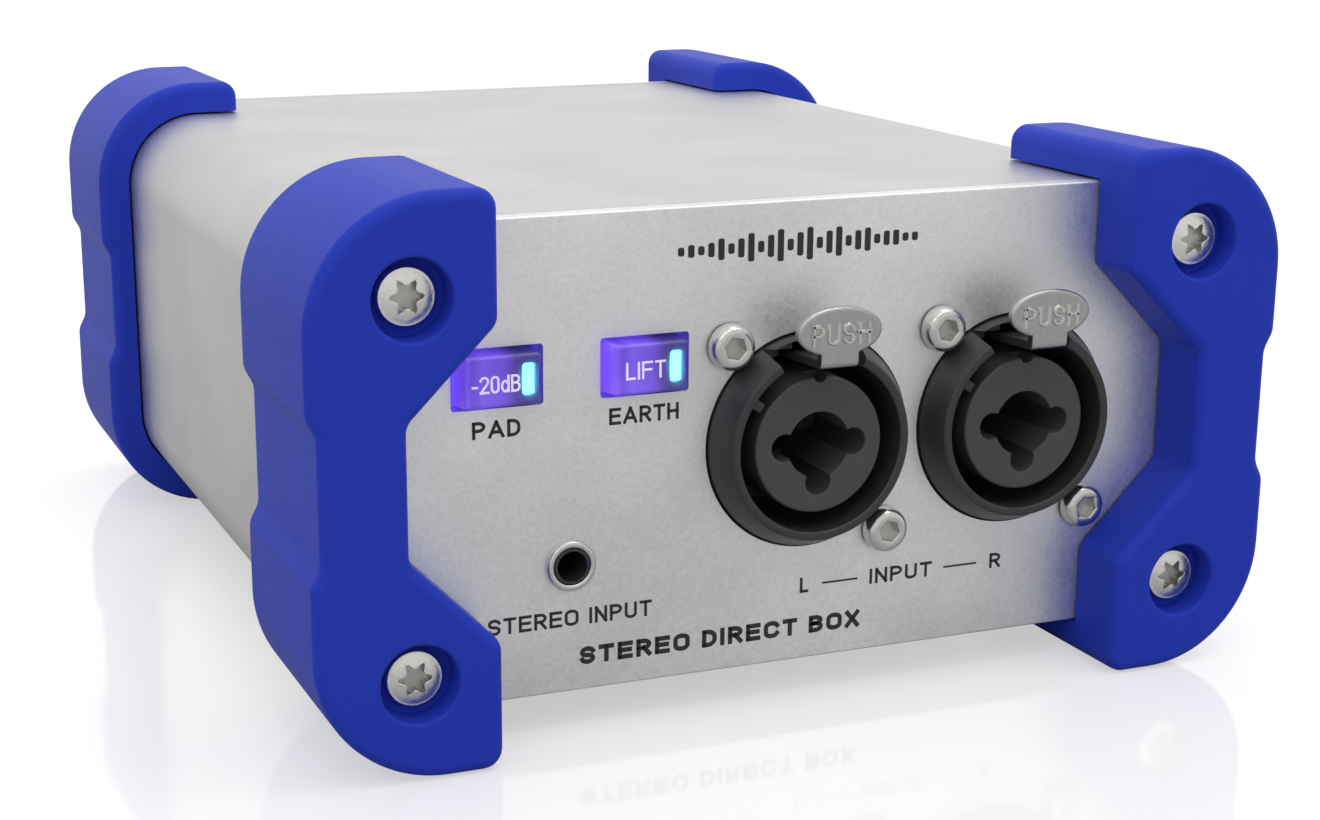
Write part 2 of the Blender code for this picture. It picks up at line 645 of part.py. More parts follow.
def build_inputs():
    for side, x in INPUT_X.items():
        place = (x, SOCKET_Z)
        shell = socket_shell(
            f"input_shell_{side}", x, FRONT, BEZEL_FACE, SLOT_RADIUS, INSERT_DEPTH, SOCKET_BODY_DEPTH
        )
        notch_floor = BEZEL_FACE - BEZEL_NOTCH_DEPTH
        cut(shell, extruded(f"notch_{side}", [notch_outline()], BEZEL_FACE + OVERCUT, notch_floor, place))
        cut(shell, rod(f"bore_{side}", JACK_HOLE_RADIUS, 0.0, -SOCKET_BODY_DEPTH - OVERCUT, place))
        cut(shell, latch_channel(side, x), latch_pin_hole(side, x))
        build_insert(side, place)
        build_latch(side, x)
        build_socket_screws(f"input_{side}", x, FRONT)


def build_insert(side, place):
    back = -INSERT_DEPTH + GAP
    edge = BEZEL_CHAMFER
    profile = [
        (0.0, INSERT_FACE), (INSERT_RADIUS - edge, INSERT_FACE), (INSERT_RADIUS, INSERT_FACE - edge),
        (INSERT_RADIUS, back), (0.0, back),
    ]
    insert = turned(f"input_insert_{side}", profile, place, finish="insert_plastic", steps=FINE_STEPS)
    front = INSERT_FACE + OVERCUT
    cut(insert, rod(f"jack_hole_{side}", JACK_HOLE_RADIUS, front, back - OVERCUT, place))
    for index, angle in enumerate(PIN_ANGLES):
        turn = math.radians(angle)
        spot = (place[0] + PIN_CIRCLE * math.cos(turn), place[1] + PIN_CIRCLE * math.sin(turn))
        floor = INSERT_FACE - PIN_HOLE_DEPTH
        cut(insert, rod(f"pin_hole_{side}_{index}", PIN_HOLE_RADIUS, front, floor, spot, steps=SMALL_STEPS))


# ================================================================ latch levers
def latch_channel(side, x):
    """Slot in the top of a socket that the lever's arm lies in and rises through."""
    half = LATCH_NECK_HALF + LATCH_SIDE_CLEARANCE
    top = LATCH_ARM_TOP + LATCH_LIFT
    bottom = LATCH_PIVOT_Z - LATCH_EYE_RADIUS - GAP
    back = -LATCH_PIVOT_DEPTH - LATCH_EYE_RADIUS - 2 * GAP
    return block(f"latch_channel_{side}", (x - half, back, bottom), (x + half, BEZEL_FACE + OVERCUT, top))


def latch_pivot(x):
    """Point on the lever's hinge axis."""
    return (x, FRONT * (HALF_DEPTH - LATCH_PIVOT_DEPTH), MIDDLE_Z + LATCH_PIVOT_Z)


def sideways_rod(name, radius, x, half_length, finish=None):
    """Round bar along X on the lever's axis."""
    shell = bmesh.new()
    turn = Matrix.Rotation(math.pi / 2, 4, "Y")
    bmesh.ops.create_cone(
        shell, cap_ends=True, segments=SMALL_STEPS, radius1=radius, radius2=radius,
        depth=2 * half_length, matrix=turn,
    )
    mesh = bpy.data.meshes.new(name)
    shell.to_mesh(mesh)
    shell.free()
    shade(mesh)
    item = add_object(name, mesh, finish)
    item.location = latch_pivot(x)
    return item


def latch_pin_half():
    return LATCH_NECK_HALF + LATCH_SIDE_CLEARANCE + 3 * LATCH_PIN_RADIUS


def latch_pin_hole(side, x):
    return sideways_rod(f"latch_pin_hole_{side}", LATCH_PIN_RADIUS + GAP, x, latch_pin_half() + GAP)


def latch_tab_outline():
    """Oval thumb tab with the neck that hangs from it, from the socket's axis."""
    start = math.degrees(math.acos(LATCH_NECK_HALF / LATCH_HALF_WIDTH))
    unit = arc((0.0, 0.0), 1.0, -start, 180.0 + start, ROUND_STEPS)
    oval = [(LATCH_HALF_WIDTH * across, LATCH_TAB_Z + LATCH_HALF_HEIGHT * up) for across, up in unit]
    foot = LATCH_ARM_BOTTOM - SOCKET_Z - GAP
    return oval + [(-LATCH_NECK_HALF, foot), (LATCH_NECK_HALF, foot)]


def build_latch(side, x):
    """Sheet-metal lever: thumb tab and neck, an arm into the socket and a pivot eye."""
    tab_front = LATCH_TAB_OUT + LATCH_THICKNESS
    lever = extruded(
        f"input_latch_{side}", [latch_tab_outline()], LATCH_TAB_OUT, tab_front, (x, SOCKET_Z), finish="nickel"
    )
    arm_half = LATCH_NECK_HALF - GAP / 2
    arm = block(
        f"latch_arm_{side}",
        (x - arm_half, -LATCH_PIVOT_DEPTH, LATCH_ARM_BOTTOM),
        (x + arm_half, LATCH_TAB_OUT + LATCH_THICKNESS / 2, LATCH_ARM_TOP),
    )
    eye = sideways_rod(f"latch_eye_{side}", LATCH_EYE_RADIUS, x, arm_half - GAP / 2)
    join(lever, arm, eye)
    hole = sideways_rod(f"latch_eye_hole_{side}", LATCH_PIN_RADIUS + GAP, x, arm_half + OVERCUT)
    cut(lever, hole)
    sideways_rod(f"latch_pin_{side}", LATCH_PIN_RADIUS, x, latch_pin_half(), "nickel")
    move_origin_to_pivot(lever, x)


def move_origin_to_pivot(lever, x):
    """Puts the lever's origin on its hinge axis and leaves its shape where it is."""
    target = Matrix.Translation(latch_pivot(x))
    current = Matrix.LocRotScale(lever.location, lever.rotation_euler, None)
    lever.data.transform(target.inverted() @ current)
    lever.rotation_euler = (0.0, 0.0, 0.0)
    lever.location = target.translation


# ================================================================ push buttons
def dished_face_cutter(name, x):
    """Wide cylinder along X that hollows the cap's front face."""
    half_chord = BUTTON_HALF_HEIGHT
    radius = (half_chord ** 2 + BUTTON_DISH ** 2) / (2 * BUTTON_DISH)
    shell = bmesh.new()
    turn = Matrix.Rotation(math.pi / 2, 4, "Y")
    bmesh.ops.create_cone(
        shell, cap_ends=True, segments=DISH_STEPS, radius1=radius, radius2=radius,
        depth=2 * BUTTON_HALF_WIDTH, matrix=turn,
    )
    mesh = bpy.data.meshes.new(name)
    shell.to_mesh(mesh)
    shell.free()
    item = add_object(name, mesh)
    item.location = (x, FRONT * (HALF_DEPTH + BUTTON_FACE - BUTTON_DISH + radius), MIDDLE_Z + BUTTON_Z)
    return item


def build_button(name, x):
    """Tapered cap with a dished face, a retaining lip, a stem and a pocket for its light bar."""
    cap_name = f"{name}_button"
    back = -BUTTON_BACK
    cap = block(
        cap_name,
        (x - BUTTON_HALF_WIDTH, back, BUTTON_Z - BUTTON_HALF_HEIGHT),
        (x + BUTTON_HALF_WIDTH, BUTTON_FACE, BUTTON_Z + BUTTON_HALF_HEIGHT),
        finish="violet_cap",
    )
    draw_in_front(cap)
    lip = block(
        f"{cap_name}_lip",
        (x - BUTTON_HALF_WIDTH - BUTTON_LIP, back, BUTTON_Z - BUTTON_HALF_HEIGHT - BUTTON_LIP),
        (x + BUTTON_HALF_WIDTH + BUTTON_LIP, -PANEL_BACK, BUTTON_Z + BUTTON_HALF_HEIGHT + BUTTON_LIP),
    )
    stem = block(
        f"{cap_name}_stem",
        (x - STEM_HALF, back - STEM_LENGTH, BUTTON_Z - STEM_HALF),
        (x + STEM_HALF, back / 2, BUTTON_Z + STEM_HALF),
    )
    join(cap, lip, stem)
    cut(cap, dished_face_cutter(f"{cap_name}_dish", x))
    pocket_floor = BUTTON_FACE - LIGHT_POCKET_DEPTH
    light_x = x + LIGHT_X
    pocket = block(
        f"{cap_name}_pocket",
        (light_x - LIGHT_HALF_WIDTH - GAP, pocket_floor, BUTTON_Z - LIGHT_HALF_HEIGHT - GAP),
        (light_x + LIGHT_HALF_WIDTH + GAP, BUTTON_FACE + OVERCUT, BUTTON_Z + LIGHT_HALF_HEIGHT + GAP),
    )
    cut(cap, pocket)
    block(
        f"{name}_light_bar",
        (light_x - LIGHT_HALF_WIDTH, pocket_floor + GAP, BUTTON_Z - LIGHT_HALF_HEIGHT),
        (light_x + LIGHT_HALF_WIDTH, BUTTON_FACE - BUTTON_DISH, BUTTON_Z + LIGHT_HALF_HEIGHT),
        finish="light_bar",
    )
    build_switch(name, x)


def draw_in_front(cap):
    """Gives the cap its draft: the front corners come in."""
    half = (BUTTON_HALF_WIDTH - BUTTON_DRAFT) / BUTTON_HALF_WIDTH
    tall = (BUTTON_HALF_HEIGHT - BUTTON_DRAFT) / BUTTON_HALF_HEIGHT
    for vertex in cap.data.vertices:
        if vertex.co.y < 0.0:
            vertex.co.x *= half
            vertex.co.z *= tall


def build_switch(name, x):
    switch = block(
        f"{name}_switch",
        (x - SWITCH_HALF_WIDTH, -SWITCH_BOARD_DEPTH + GAP, BUTTON_Z - SWITCH_HALF_HEIGHT),
        (x + SWITCH_HALF_WIDTH, -SWITCH_FRONT, BUTTON_Z + SWITCH_HALF_HEIGHT),
        finish="switch_plastic",
    )
    half = STEM_HALF + GAP
    reach = BUTTON_BACK + STEM_LENGTH + BUTTON_TRAVEL + GAP
    low = (x - half, -reach, BUTTON_Z - half)
    high = (x + half, -SWITCH_FRONT + OVERCUT, BUTTON_Z + half)
    cut(switch, block(f"{name}_stem_hole", low, high))


# ================================================================ small jack
def build_mini_jack():
    place = (MINI_JACK_X, MINI_JACK_Z)
    barrel_front = MINI_NUT_OUT - BEZEL_CHAMFER
    jack = rod("mini_jack", MINI_BARREL_RADIUS, barrel_front, -PANEL_BACK - OVERCUT, place, finish="socket_plastic")
    body = block(
        "mini_jack_housing",
        (MINI_JACK_X - MINI_BODY_HALF_WIDTH, -MINI_BODY_DEPTH, MINI_JACK_Z - MINI_BODY_HALF),
        (MINI_JACK_X + MINI_BODY_HALF_WIDTH, -PANEL_BACK, MINI_JACK_Z + MINI_BODY_HALF),
    )
    join(jack, body)
    cut(jack, rod("mini_bore", MINI_HOLE_RADIUS, MINI_NUT_OUT + OVERCUT, -MINI_BODY_DEPTH - OVERCUT, place))
    inner = MINI_BARREL_RADIUS + GAP
    edge = MINI_NUT_OUT / 3
    ring = [
        (inner, MINI_NUT_OUT), (MINI_NUT_RADIUS - edge, MINI_NUT_OUT),
        (MINI_NUT_RADIUS, MINI_NUT_OUT - edge), (MINI_NUT_RADIUS, GAP), (inner, GAP),
    ]
    turned("mini_jack_nut", ring, place, finish="nickel", closed=True)


# ================================================================ rear connectors
def build_outputs():
    for side, x in OUTPUT_X.items():
        shell = socket_shell(
            f"output_shell_{side}", x, REAR, OUTPUT_FACE, CUP_RADIUS, CUP_DEPTH, OUTPUT_BODY_DEPTH
        )
        for index, angle in enumerate(PIN_ANGLES):
            turn = math.radians(angle)
            spot = (x + PIN_CIRCLE * math.cos(turn), SOCKET_Z + PIN_CIRCLE * math.sin(turn))
            tail = -OUTPUT_BODY_DEPTH - CONTACT_TAIL
            radius = CONTACT_RADIUS + GAP
            hole = rod(f"contact_hole_{side}_{index}", radius, 0.0, tail, spot, REAR, steps=SMALL_STEPS)
            cut(shell, hole)
            build_contact(f"output_pin_{side}_{index + 1}", spot, tail)
        build_socket_screws(f"output_{side}", x, REAR)


def build_contact(name, spot, tail):
    tip = OUTPUT_FACE - CONTACT_OUT
    radius = CONTACT_RADIUS
    profile = [(0.0, tip), (radius / 2, tip), (radius, tip - radius), (radius, tail), (0.0, tail)]
    turned(name, profile, spot, REAR, finish="gold_contact", steps=SMALL_STEPS)


def build_links():
    for side, x in LINK_X.items():
        place = (x, SOCKET_Z)
        back = -PANEL_BACK - OVERCUT
        jack = rod(f"link_jack_{side}", LINK_BARREL_RADIUS, LINK_BARREL_OUT, back, place, REAR, "socket_plastic")
        housing = block(
            f"link_housing_{side}",
            (x - LINK_BODY_HALF, -LINK_BODY_DEPTH, BOARD_TOP + GAP),
            (x + LINK_BODY_HALF, -PANEL_BACK, SOCKET_Z + LINK_BODY_HALF),
            REAR,
        )
        join(jack, housing)
        front = LINK_BARREL_OUT + OVERCUT
        cut(jack, rod(f"link_bore_{side}", LINK_HOLE_RADIUS, front, -LINK_BODY_DEPTH - OVERCUT, place, REAR))
        inner = LINK_BARREL_RADIUS + GAP
        extruded(
            f"link_nut_{side}", [circle(LINK_NUT_RADIUS, HEX_SIDES), circle(inner, ROUND_STEPS)],
            GAP, LINK_NUT_THICKNESS + GAP, place, REAR, "nickel",
        )


# ================================================================ boards and what they carry
def build_boards():
    end_inset = PANEL_THICKNESS + BOARD_END_CLEARANCE
    block(
        "main_board",
        (-BOARD_HALF_WIDTH, -BODY_DEPTH + end_inset, BOARD_BOTTOM),
        (BOARD_HALF_WIDTH, -end_inset, BOARD_TOP),
        finish="circuit_board",
    )
    left = BUTTON_X["pad"] - SWITCH_HALF_WIDTH - SWITCH_BOARD_MARGIN
    right = INPUT_X["left"] - SOCKET_BODY_HALF_WIDTH - GAP
    block(
        "switch_board",
        (left, -SWITCH_BOARD_DEPTH - BOARD_THICKNESS, BOARD_TOP + GAP),
        (right, -SWITCH_BOARD_DEPTH, BUTTON_Z + SWITCH_HALF_HEIGHT + SWITCH_BOARD_MARGIN / 2),
        finish="circuit_board",
    )


def build_board_parts():
    base = BOARD_TOP + GAP
    for side, x in TRANSFORMER_X.items():
        low = (x - TRANSFORMER_HALF, TRANSFORMER_Y - TRANSFORMER_HALF - HALF_DEPTH, base)
        high = (x + TRANSFORMER_HALF, TRANSFORMER_Y + TRANSFORMER_HALF - HALF_DEPTH, base + TRANSFORMER_HEIGHT)
        can = block(f"transformer_{side}", low, high, finish="steel_can")
        bevel(can, BUMPER_EDGE)
    for index, label in enumerate(("front", "rear")):
        shell = bmesh.new()
        bmesh.ops.create_cone(
            shell, cap_ends=True, segments=ROUND_STEPS, radius1=CAPACITOR_RADIUS,
            radius2=CAPACITOR_RADIUS, depth=CAPACITOR_HEIGHT,
        )
        mesh = bpy.data.meshes.new(f"capacitor_{label}")
        shell.to_mesh(mesh)
        shell.free()
        shade(mesh)
        item = add_object(f"capacitor_{label}", mesh, "capacitor_sleeve")
        item.location = (CAPACITOR_X, index * CAPACITOR_PITCH, MIDDLE_Z + base + CAPACITOR_HEIGHT / 2)


def build():
    build_sleeve()
    build_panels()
    build_bumpers()
    build_inputs()
    for name, x in BUTTON_X.items():
        build_button(name, x)
    build_mini_jack()
    build_outputs()
    build_links()
    build_boards()
    build_board_parts()


build()
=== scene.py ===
"""Looks of the stereo direct injection box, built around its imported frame.

Each class builds one sub-assembly: its meshes are shaped with bmesh operators, dressed with
procedural finishes and set riding on the frame's bodies. Metres, +Z up, the front faces -Y.
A piece is first shaped in its panel's own frame: X to the viewer's right, Y up and Z out of
the panel. Its seat matrix then puts the mesh in its place.
"""

import json
import logging
import math
from dataclasses import dataclass
from enum import Enum
from typing import Callable, Iterable, Optional, Sequence

import bmesh
import bpy
from mathutils import Matrix, Vector


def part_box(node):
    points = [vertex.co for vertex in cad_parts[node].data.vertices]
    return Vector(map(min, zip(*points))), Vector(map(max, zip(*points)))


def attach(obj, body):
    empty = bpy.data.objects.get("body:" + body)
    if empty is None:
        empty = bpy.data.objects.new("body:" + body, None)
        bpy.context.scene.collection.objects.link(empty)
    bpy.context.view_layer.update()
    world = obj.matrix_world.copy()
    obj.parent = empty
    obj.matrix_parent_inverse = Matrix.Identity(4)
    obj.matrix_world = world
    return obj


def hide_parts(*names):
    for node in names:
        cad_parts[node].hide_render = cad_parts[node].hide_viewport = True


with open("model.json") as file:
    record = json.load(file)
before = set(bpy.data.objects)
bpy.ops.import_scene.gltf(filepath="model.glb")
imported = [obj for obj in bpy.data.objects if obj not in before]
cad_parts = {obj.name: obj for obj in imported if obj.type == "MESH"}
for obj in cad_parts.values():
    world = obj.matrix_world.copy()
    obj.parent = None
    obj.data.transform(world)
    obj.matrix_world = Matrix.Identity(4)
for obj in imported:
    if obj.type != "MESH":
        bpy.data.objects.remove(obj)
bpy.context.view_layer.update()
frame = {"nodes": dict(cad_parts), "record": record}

LOG = logging.getLogger("direct_box")
MM = 0.001
WELD = 1e-7
CREASE = math.radians(32.0)
BODY = "case"
SIDES = ("left", "right")
# Spaces between letters and between words, for letters of height 1.
LETTER_GAP = 0.09
WORD_GAP = 0.40

Shape = bmesh.types.BMesh
Point = tuple[float, float]


# ---------------------------------------------------------------- places
class End(Enum):
    """The two ends of the case, each with a panel."""

    FRONT = "front"
    REAR = "rear"

    @property
    def side_sign(self) -> int:
        """World X direction of the viewer's right."""
        return 1 if self is End.FRONT else -1


@dataclass(frozen=True)
class Layout:
    """Where the two panels' outer faces and the middle of the case are."""

    front_y: float
    rear_y: float
    middle_z: float
    half_width: float
    half_height: float

    @classmethod
    def from_frame(cls) -> "Layout":
        """Reads the panels' boxes from the frame."""
        low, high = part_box("front_panel")
        rear_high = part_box("rear_panel")[1]
        middle = (low.z + high.z) / 2
        return cls(low.y, rear_high.y, middle, (high.x - low.x) / 2, (high.z - low.z) / 2)

    def seat(self, end: End, across: float = 0.0, up: float = 0.0) -> Matrix:
        """Matrix from a panel's own frame to its place.

        Args:
            end: the panel.
            across: world X of the piece's axis.
            up: height of the axis above the middle of the case.

        Returns:
            The matrix that seats the piece.
        """
        stand = Matrix.Rotation(math.pi / 2, 4, "X")
        if end is End.FRONT:
            return Matrix.Translation((across, self.front_y, self.middle_z + up)) @ stand
        turn = Matrix.Rotation(math.pi, 4, "Z")
        return Matrix.Translation((across, self.rear_y, self.middle_z + up)) @ turn @ stand

    def axis(self, node: str) -> Point:
        """(X, height above the middle) of the centre of a frame node's box."""
        low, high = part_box(node)
        return (low.x + high.x) / 2, (low.z + high.z) / 2 - self.middle_z

    def socket_axis(self, socket: str) -> Point:
        """(X, height) halfway between the two screws of a socket such as output_left."""
        upper, lower = self.axis(f"{socket}_screw_upper"), self.axis(f"{socket}_screw_lower")
        return (upper[0] + lower[0]) / 2, (upper[1] + lower[1]) / 2


# ---------------------------------------------------------------- shaping
def pick_edges(shape: Shape, test: Callable[[Vector, Vector], bool]) -> list:
    """Edges whose two ends pass a test."""
    return [e for e in shape.edges if test(e.verts[0].co, e.verts[1].co)]


def sharp_edges(shape: Shape, above: float = CREASE) -> list:
    """Edges whose faces meet at more than an angle."""
    shape.normal_update()
    return [e for e in shape.edges if len(e.link_faces) == 2 and e.calc_face_angle(0.0) > above]


def round_edges(shape: Shape, geom: Iterable, width: float, segments: int = 3,
                affect: str = "EDGES") -> None:
    """Rounds edges of a solid or corners of an outline.

    Args:
        shape: the mesh.
        geom: the edges or points to round.
        width: radius of the rounding.
        segments: steps across it.
        affect: EDGES or VERTICES.
    """
    bmesh.ops.bevel(
        shape, geom=list(geom), offset=width, offset_type="OFFSET", segments=segments,
        profile=0.5, affect=affect, clamp_overlap=False, material=-1,
    )


def round_corner(shape: Shape, spot: Point, width: float, segments: int) -> None:
    """Rounds the corner of a flat outline that is nearest to a spot."""
    corner = min(shape.verts, key=lambda v: (v.co.xy - Vector(spot)).length)
    round_edges(shape, [corner], width, segments, "VERTICES")


def outline(points: Iterable[Point]) -> Shape:
    """Flat face facing out of the panel.

    Args:
        points: its corners in order.

    Returns:
        The face.
    """
    shape = bmesh.new()
    shape.faces.new([shape.verts.new((x, y, 0.0)) for x, y in points])
    bmesh.ops.recalc_face_normals(shape, faces=shape.faces)
    return shape


def rounded_outline(half_width: float, half_height: float, radius: float, segments: int = 12) -> Shape:
    """Flat rectangle with its four corners rounded.

    Args:
        half_width: half its width.
        half_height: half its height.
        radius: radius of its corners.
        segments: steps round each corner.

    Returns:
        The face.
    """
    shape = bmesh.new()
    size = Matrix.Diagonal((half_width, half_height, 1.0, 1.0))
    bmesh.ops.create_grid(shape, x_segments=1, y_segments=1, size=1.0, matrix=size)
    round_edges(shape, shape.verts, radius, segments, "VERTICES")
    return shape


def thicken(shape: Shape, back: float, front: float) -> Shape:
    """Turns a flat face into a plate.

    Args:
        shape: the face, which becomes the plate.
        back: depth of the plate's back.
        front: depth of its front.

    Returns:
        The plate.
    """
    bmesh.ops.translate(shape, vec=(0.0, 0.0, back), verts=shape.verts)
    made = bmesh.ops.extrude_face_region(shape, geom=shape.faces[:])["geom"]
    raised = [v for v in made if isinstance(v, bmesh.types.BMVert)]
    bmesh.ops.translate(shape, vec=(0.0, 0.0, front - back), verts=raised)
    return turn_out(shape)


def turn_out(shape: Shape) -> Shape:
    """Merges doubled points and turns every face out.

    Args:
        shape: a closed mesh.

    Returns:
        The same mesh.
    """
    bmesh.ops.remove_doubles(shape, verts=shape.verts, dist=WELD)
    bmesh.ops.dissolve_degenerate(shape, edges=shape.edges, dist=WELD)
    bmesh.ops.recalc_face_normals(shape, faces=shape.faces)
    return shape


def plate_with_holes(loops: Sequence[Shape], back: float, front: float) -> Shape:
    """Plate with holes.

    Args:
        loops: the outline, then the holes.
        back: depth of the plate's back.
        front: depth of its front.

    Returns:
        The plate.
    """
    joined = bmesh.new()
    for loop in loops:
        carry(loop, joined)
    bmesh.ops.delete(joined, geom=joined.faces[:], context="FACES_ONLY")
    bmesh.ops.triangle_fill(joined, use_beauty=True, edges=joined.edges[:], normal=(0.0, 0.0, 1.0))
    return thicken(joined, back, front)


def carry(source: Shape, target: Shape) -> None:
    """Moves one mesh into another.

    Args:
        source: the mesh that is added and freed.
        target: the mesh that takes it.
    """
    mesh = bpy.data.meshes.new("carried")
    source.to_mesh(mesh)
    source.free()
    target.from_mesh(mesh)
    bpy.data.meshes.remove(mesh)


def disc(radius: float, segments: int = 48, centre: Point = (0.0, 0.0)) -> Shape:
    """Flat round face.

    Args:
        radius: its radius.
        segments: its sides.
        centre: its middle on the panel.

    Returns:
        The face.
    """
    shape = bmesh.new()
    place = Matrix.Translation((centre[0], centre[1], 0.0))
    bmesh.ops.create_circle(shape, cap_ends=True, radius=radius, segments=segments, matrix=place)
    return shape


def rod(radius: float, back: float, front: float, centre: Point = (0.0, 0.0), segments: int = 48) -> Shape:
    """Round bar that stands out of the panel between two depths."""
    return thicken(disc(radius, segments, centre), back, front)


def block(low: Sequence[float], high: Sequence[float]) -> Shape:
    """Square block.

    Args:
        low: its lowest corner.
        high: its highest corner.

    Returns:
        The block.
    """
    shape = bmesh.new()
    bmesh.ops.create_cube(shape, size=1.0)
    size = [high[i] - low[i] for i in range(3)]
    middle = [(high[i] + low[i]) / 2 for i in range(3)]
    bmesh.ops.transform(shape, matrix=Matrix.Diagonal((*size, 1.0)), verts=shape.verts)
    bmesh.ops.translate(shape, vec=middle, verts=shape.verts)
    return shape


def bar(half_width: float, half_height: float, back: float, front: float, across: float = 0.0) -> Shape:
    """Square block that stands level on an axis, between two depths."""
    return block((across - half_width, -half_height, back), (across + half_width, half_height, front))


def turned(profile: Sequence[Point], steps: int = 64, ring: bool = False) -> Shape:
    """Turns a half profile about the panel's normal.

    Args:
        profile: (radius, depth) points from the front on the axis down the outer side.
        steps: faces round the axis.
        ring: True where the profile closes on itself and leaves a hole.

    Returns:
        The closed solid.
    """
    shape = bmesh.new()
    corners = [shape.verts.new((radius, 0.0, depth)) for radius, depth in profile]
    edges = [shape.edges.new(pair) for pair in zip(corners, corners[1:])]
    if ring:
        edges.append(shape.edges.new((corners[-1], corners[0])))
    bmesh.ops.spin(
        shape, geom=corners + edges, cent=(0.0, 0.0, 0.0), axis=(0.0, 0.0, 1.0),
        dvec=(0.0, 0.0, 0.0), angle=math.tau, steps=steps, use_merge=True, use_duplicate=False,
    )
    return turn_out(shape)


def bend(centre: Point, radius: float, start: float, end: float, steps: int = 6) -> list[Point]:
    """Points on an arc of a profile, angles in degrees."""
    angles = [math.radians(start + (end - start) * i / steps) for i in range(steps + 1)]
    return [(centre[0] + radius * math.cos(a), centre[1] + radius * math.sin(a)) for a in angles]


def temporary(shape: Shape) -> bpy.types.Object:
    """Object that holds a shape while a boolean uses it.

    Args:
        shape: the mesh, which is freed.

    Returns:
        The object.
    """
    mesh = bpy.data.meshes.new("working")
    shape.to_mesh(mesh)
    shape.free()
    item = bpy.data.objects.new("working", mesh)
    bpy.context.scene.collection.objects.link(item)
    return item


def combine(shape: Shape, tools: Sequence[Shape], operation: str = "DIFFERENCE") -> Shape:
    """Cuts a solid with others or joins them.

    Args:
        shape: the solid that is kept.
        tools: the solids that cut or join it.
        operation: DIFFERENCE or UNION.

    Returns:
        The result, with its faces out.
    """
    base = temporary(shape)
    helpers = [temporary(tool) for tool in tools]
    for helper in helpers:
        modifier = base.modifiers.new("combine", "BOOLEAN")
        modifier.operation = operation
        modifier.solver = "EXACT"
        modifier.object = helper
    graph = bpy.context.evaluated_depsgraph_get()
    mesh = bpy.data.meshes.new_from_object(base.evaluated_get(graph))
    result = bmesh.new()
    result.from_mesh(mesh)
    for item in [base, *helpers]:
        data = item.data
        bpy.data.objects.remove(item, do_unlink=True)
        bpy.data.meshes.remove(data)
    bpy.data.meshes.remove(mesh)
    bmesh.ops.remove_doubles(result, verts=result.verts, dist=WELD)
    return result


def arc(x: float, y: float, rx: float, ry: float, start: float, end: float) -> list[Point]:
    """Points on part of an ellipse.

    Args:
        x: its middle across.
        y: its middle up.
        rx: its half width.
        ry: its half height.
        start: first angle, in degrees.
        end: last angle.

    Returns:
        A point about every 15 degrees.
    """
    steps = max(4, round(abs(end - start) / 15.0))
    angles = [math.radians(start + (end - start) * i / steps) for i in range(steps + 1)]
    return [(x + rx * math.cos(a), y + ry * math.sin(a)) for a in angles]


def glyph(letter: str) -> tuple[float, list[list[Point]]]:
    """Plain upright letter of height 1.

    Args:
        letter: the letter.

    Returns:
        Its width and the centre lines of its strokes.
    """
    widths = {"I": 0.0, "-": 0.26, "A": 0.6, "C": 0.52, "O": 0.54, "0": 0.42, "d": 0.4, "L": 0.4}
    w = widths.get(letter, 0.47)
    r = w / 2
    stem, far, foot = [(0.0, 0.0), (0.0, 1.0)], [(w, 0.0), (w, 1.0)], [(0.0, 0.0), (w, 0.0)]
    head, bar = [(0.0, 1.0), (w, 1.0)], [(0.0, 0.52), (0.92 * w, 0.52)]
    oval = [*arc(r, 1.0 - r, r, r, 0.0, 180.0), *arc(r, r, r, r, 180.0, 360.0), (w, 1.0 - r)]
    bowl = [(0.0, 1.0), *arc(0.45 * w, 0.735, 0.55 * w, 0.265, 90.0, -90.0), (0.0, 0.47)]
    strokes = {
        "A": [[(0.0, 0.0), (r, 1.0)], [(w, 0.0), (r, 1.0)], [(0.24 * w, 0.3), (0.76 * w, 0.3)]],
        "B": [stem, [(0.0, 1.0), *arc(0.45 * w, 0.765, 0.5 * w, 0.235, 90.0, -90.0), (0.0, 0.53)],
              [(0.0, 0.53), *arc(0.5 * w, 0.265, 0.5 * w, 0.265, 90.0, -90.0), (0.0, 0.0)]],
        "C": [[*arc(r, 1.0 - r, r, r, 15.0, 180.0), *arc(r, r, r, r, 180.0, 345.0)]],
        "D": [stem, [(0.0, 1.0), *arc(0.35 * w, 0.6, 0.65 * w, 0.4, 90.0, 0.0),
                     *arc(0.35 * w, 0.4, 0.65 * w, 0.4, 0.0, -90.0), (0.0, 0.0)]],
        "E": [stem, head, bar, foot],
        "F": [stem, head, bar],
        "H": [stem, far, [(0.0, 0.52), (w, 0.52)]],
        "I": [stem],
        "K": [stem, [(0.0, 0.36), (w, 1.0)], [(0.3 * w, 0.52), (w, 0.0)]],
        "L": [stem, foot],
        "N": [stem, far, [(0.0, 1.0), (w, 0.0)]],
        "O": [oval],
        "P": [stem, bowl],
        "R": [stem, bowl, [(0.5 * w, 0.47), (w, 0.0)]],
        "S": [[*arc(r, 0.75, r, 0.25, 15.0, 270.0), *arc(r, 0.25, r, 0.25, 90.0, -165.0)[1:]]],
        "T": [head, [(r, 0.0), (r, 1.0)]],
        "U": [[(0.0, 1.0), *arc(r, r, r, r, 180.0, 360.0), (w, 1.0)]],
        "X": [[(0.0, 0.0), (w, 1.0)], [(0.0, 1.0), (w, 0.0)]],
        "-": [[(0.0, 0.38), (w, 0.38)]],
        "0": [oval],
        "2": [[*arc(r, 0.73, r, 0.27, 165.0, -35.0), (0.0, 0.0)], foot],
        "d": [far, [*arc(r, 0.34, r, 0.34, 0.0, 360.0)]],
    }
    return w, strokes[letter]


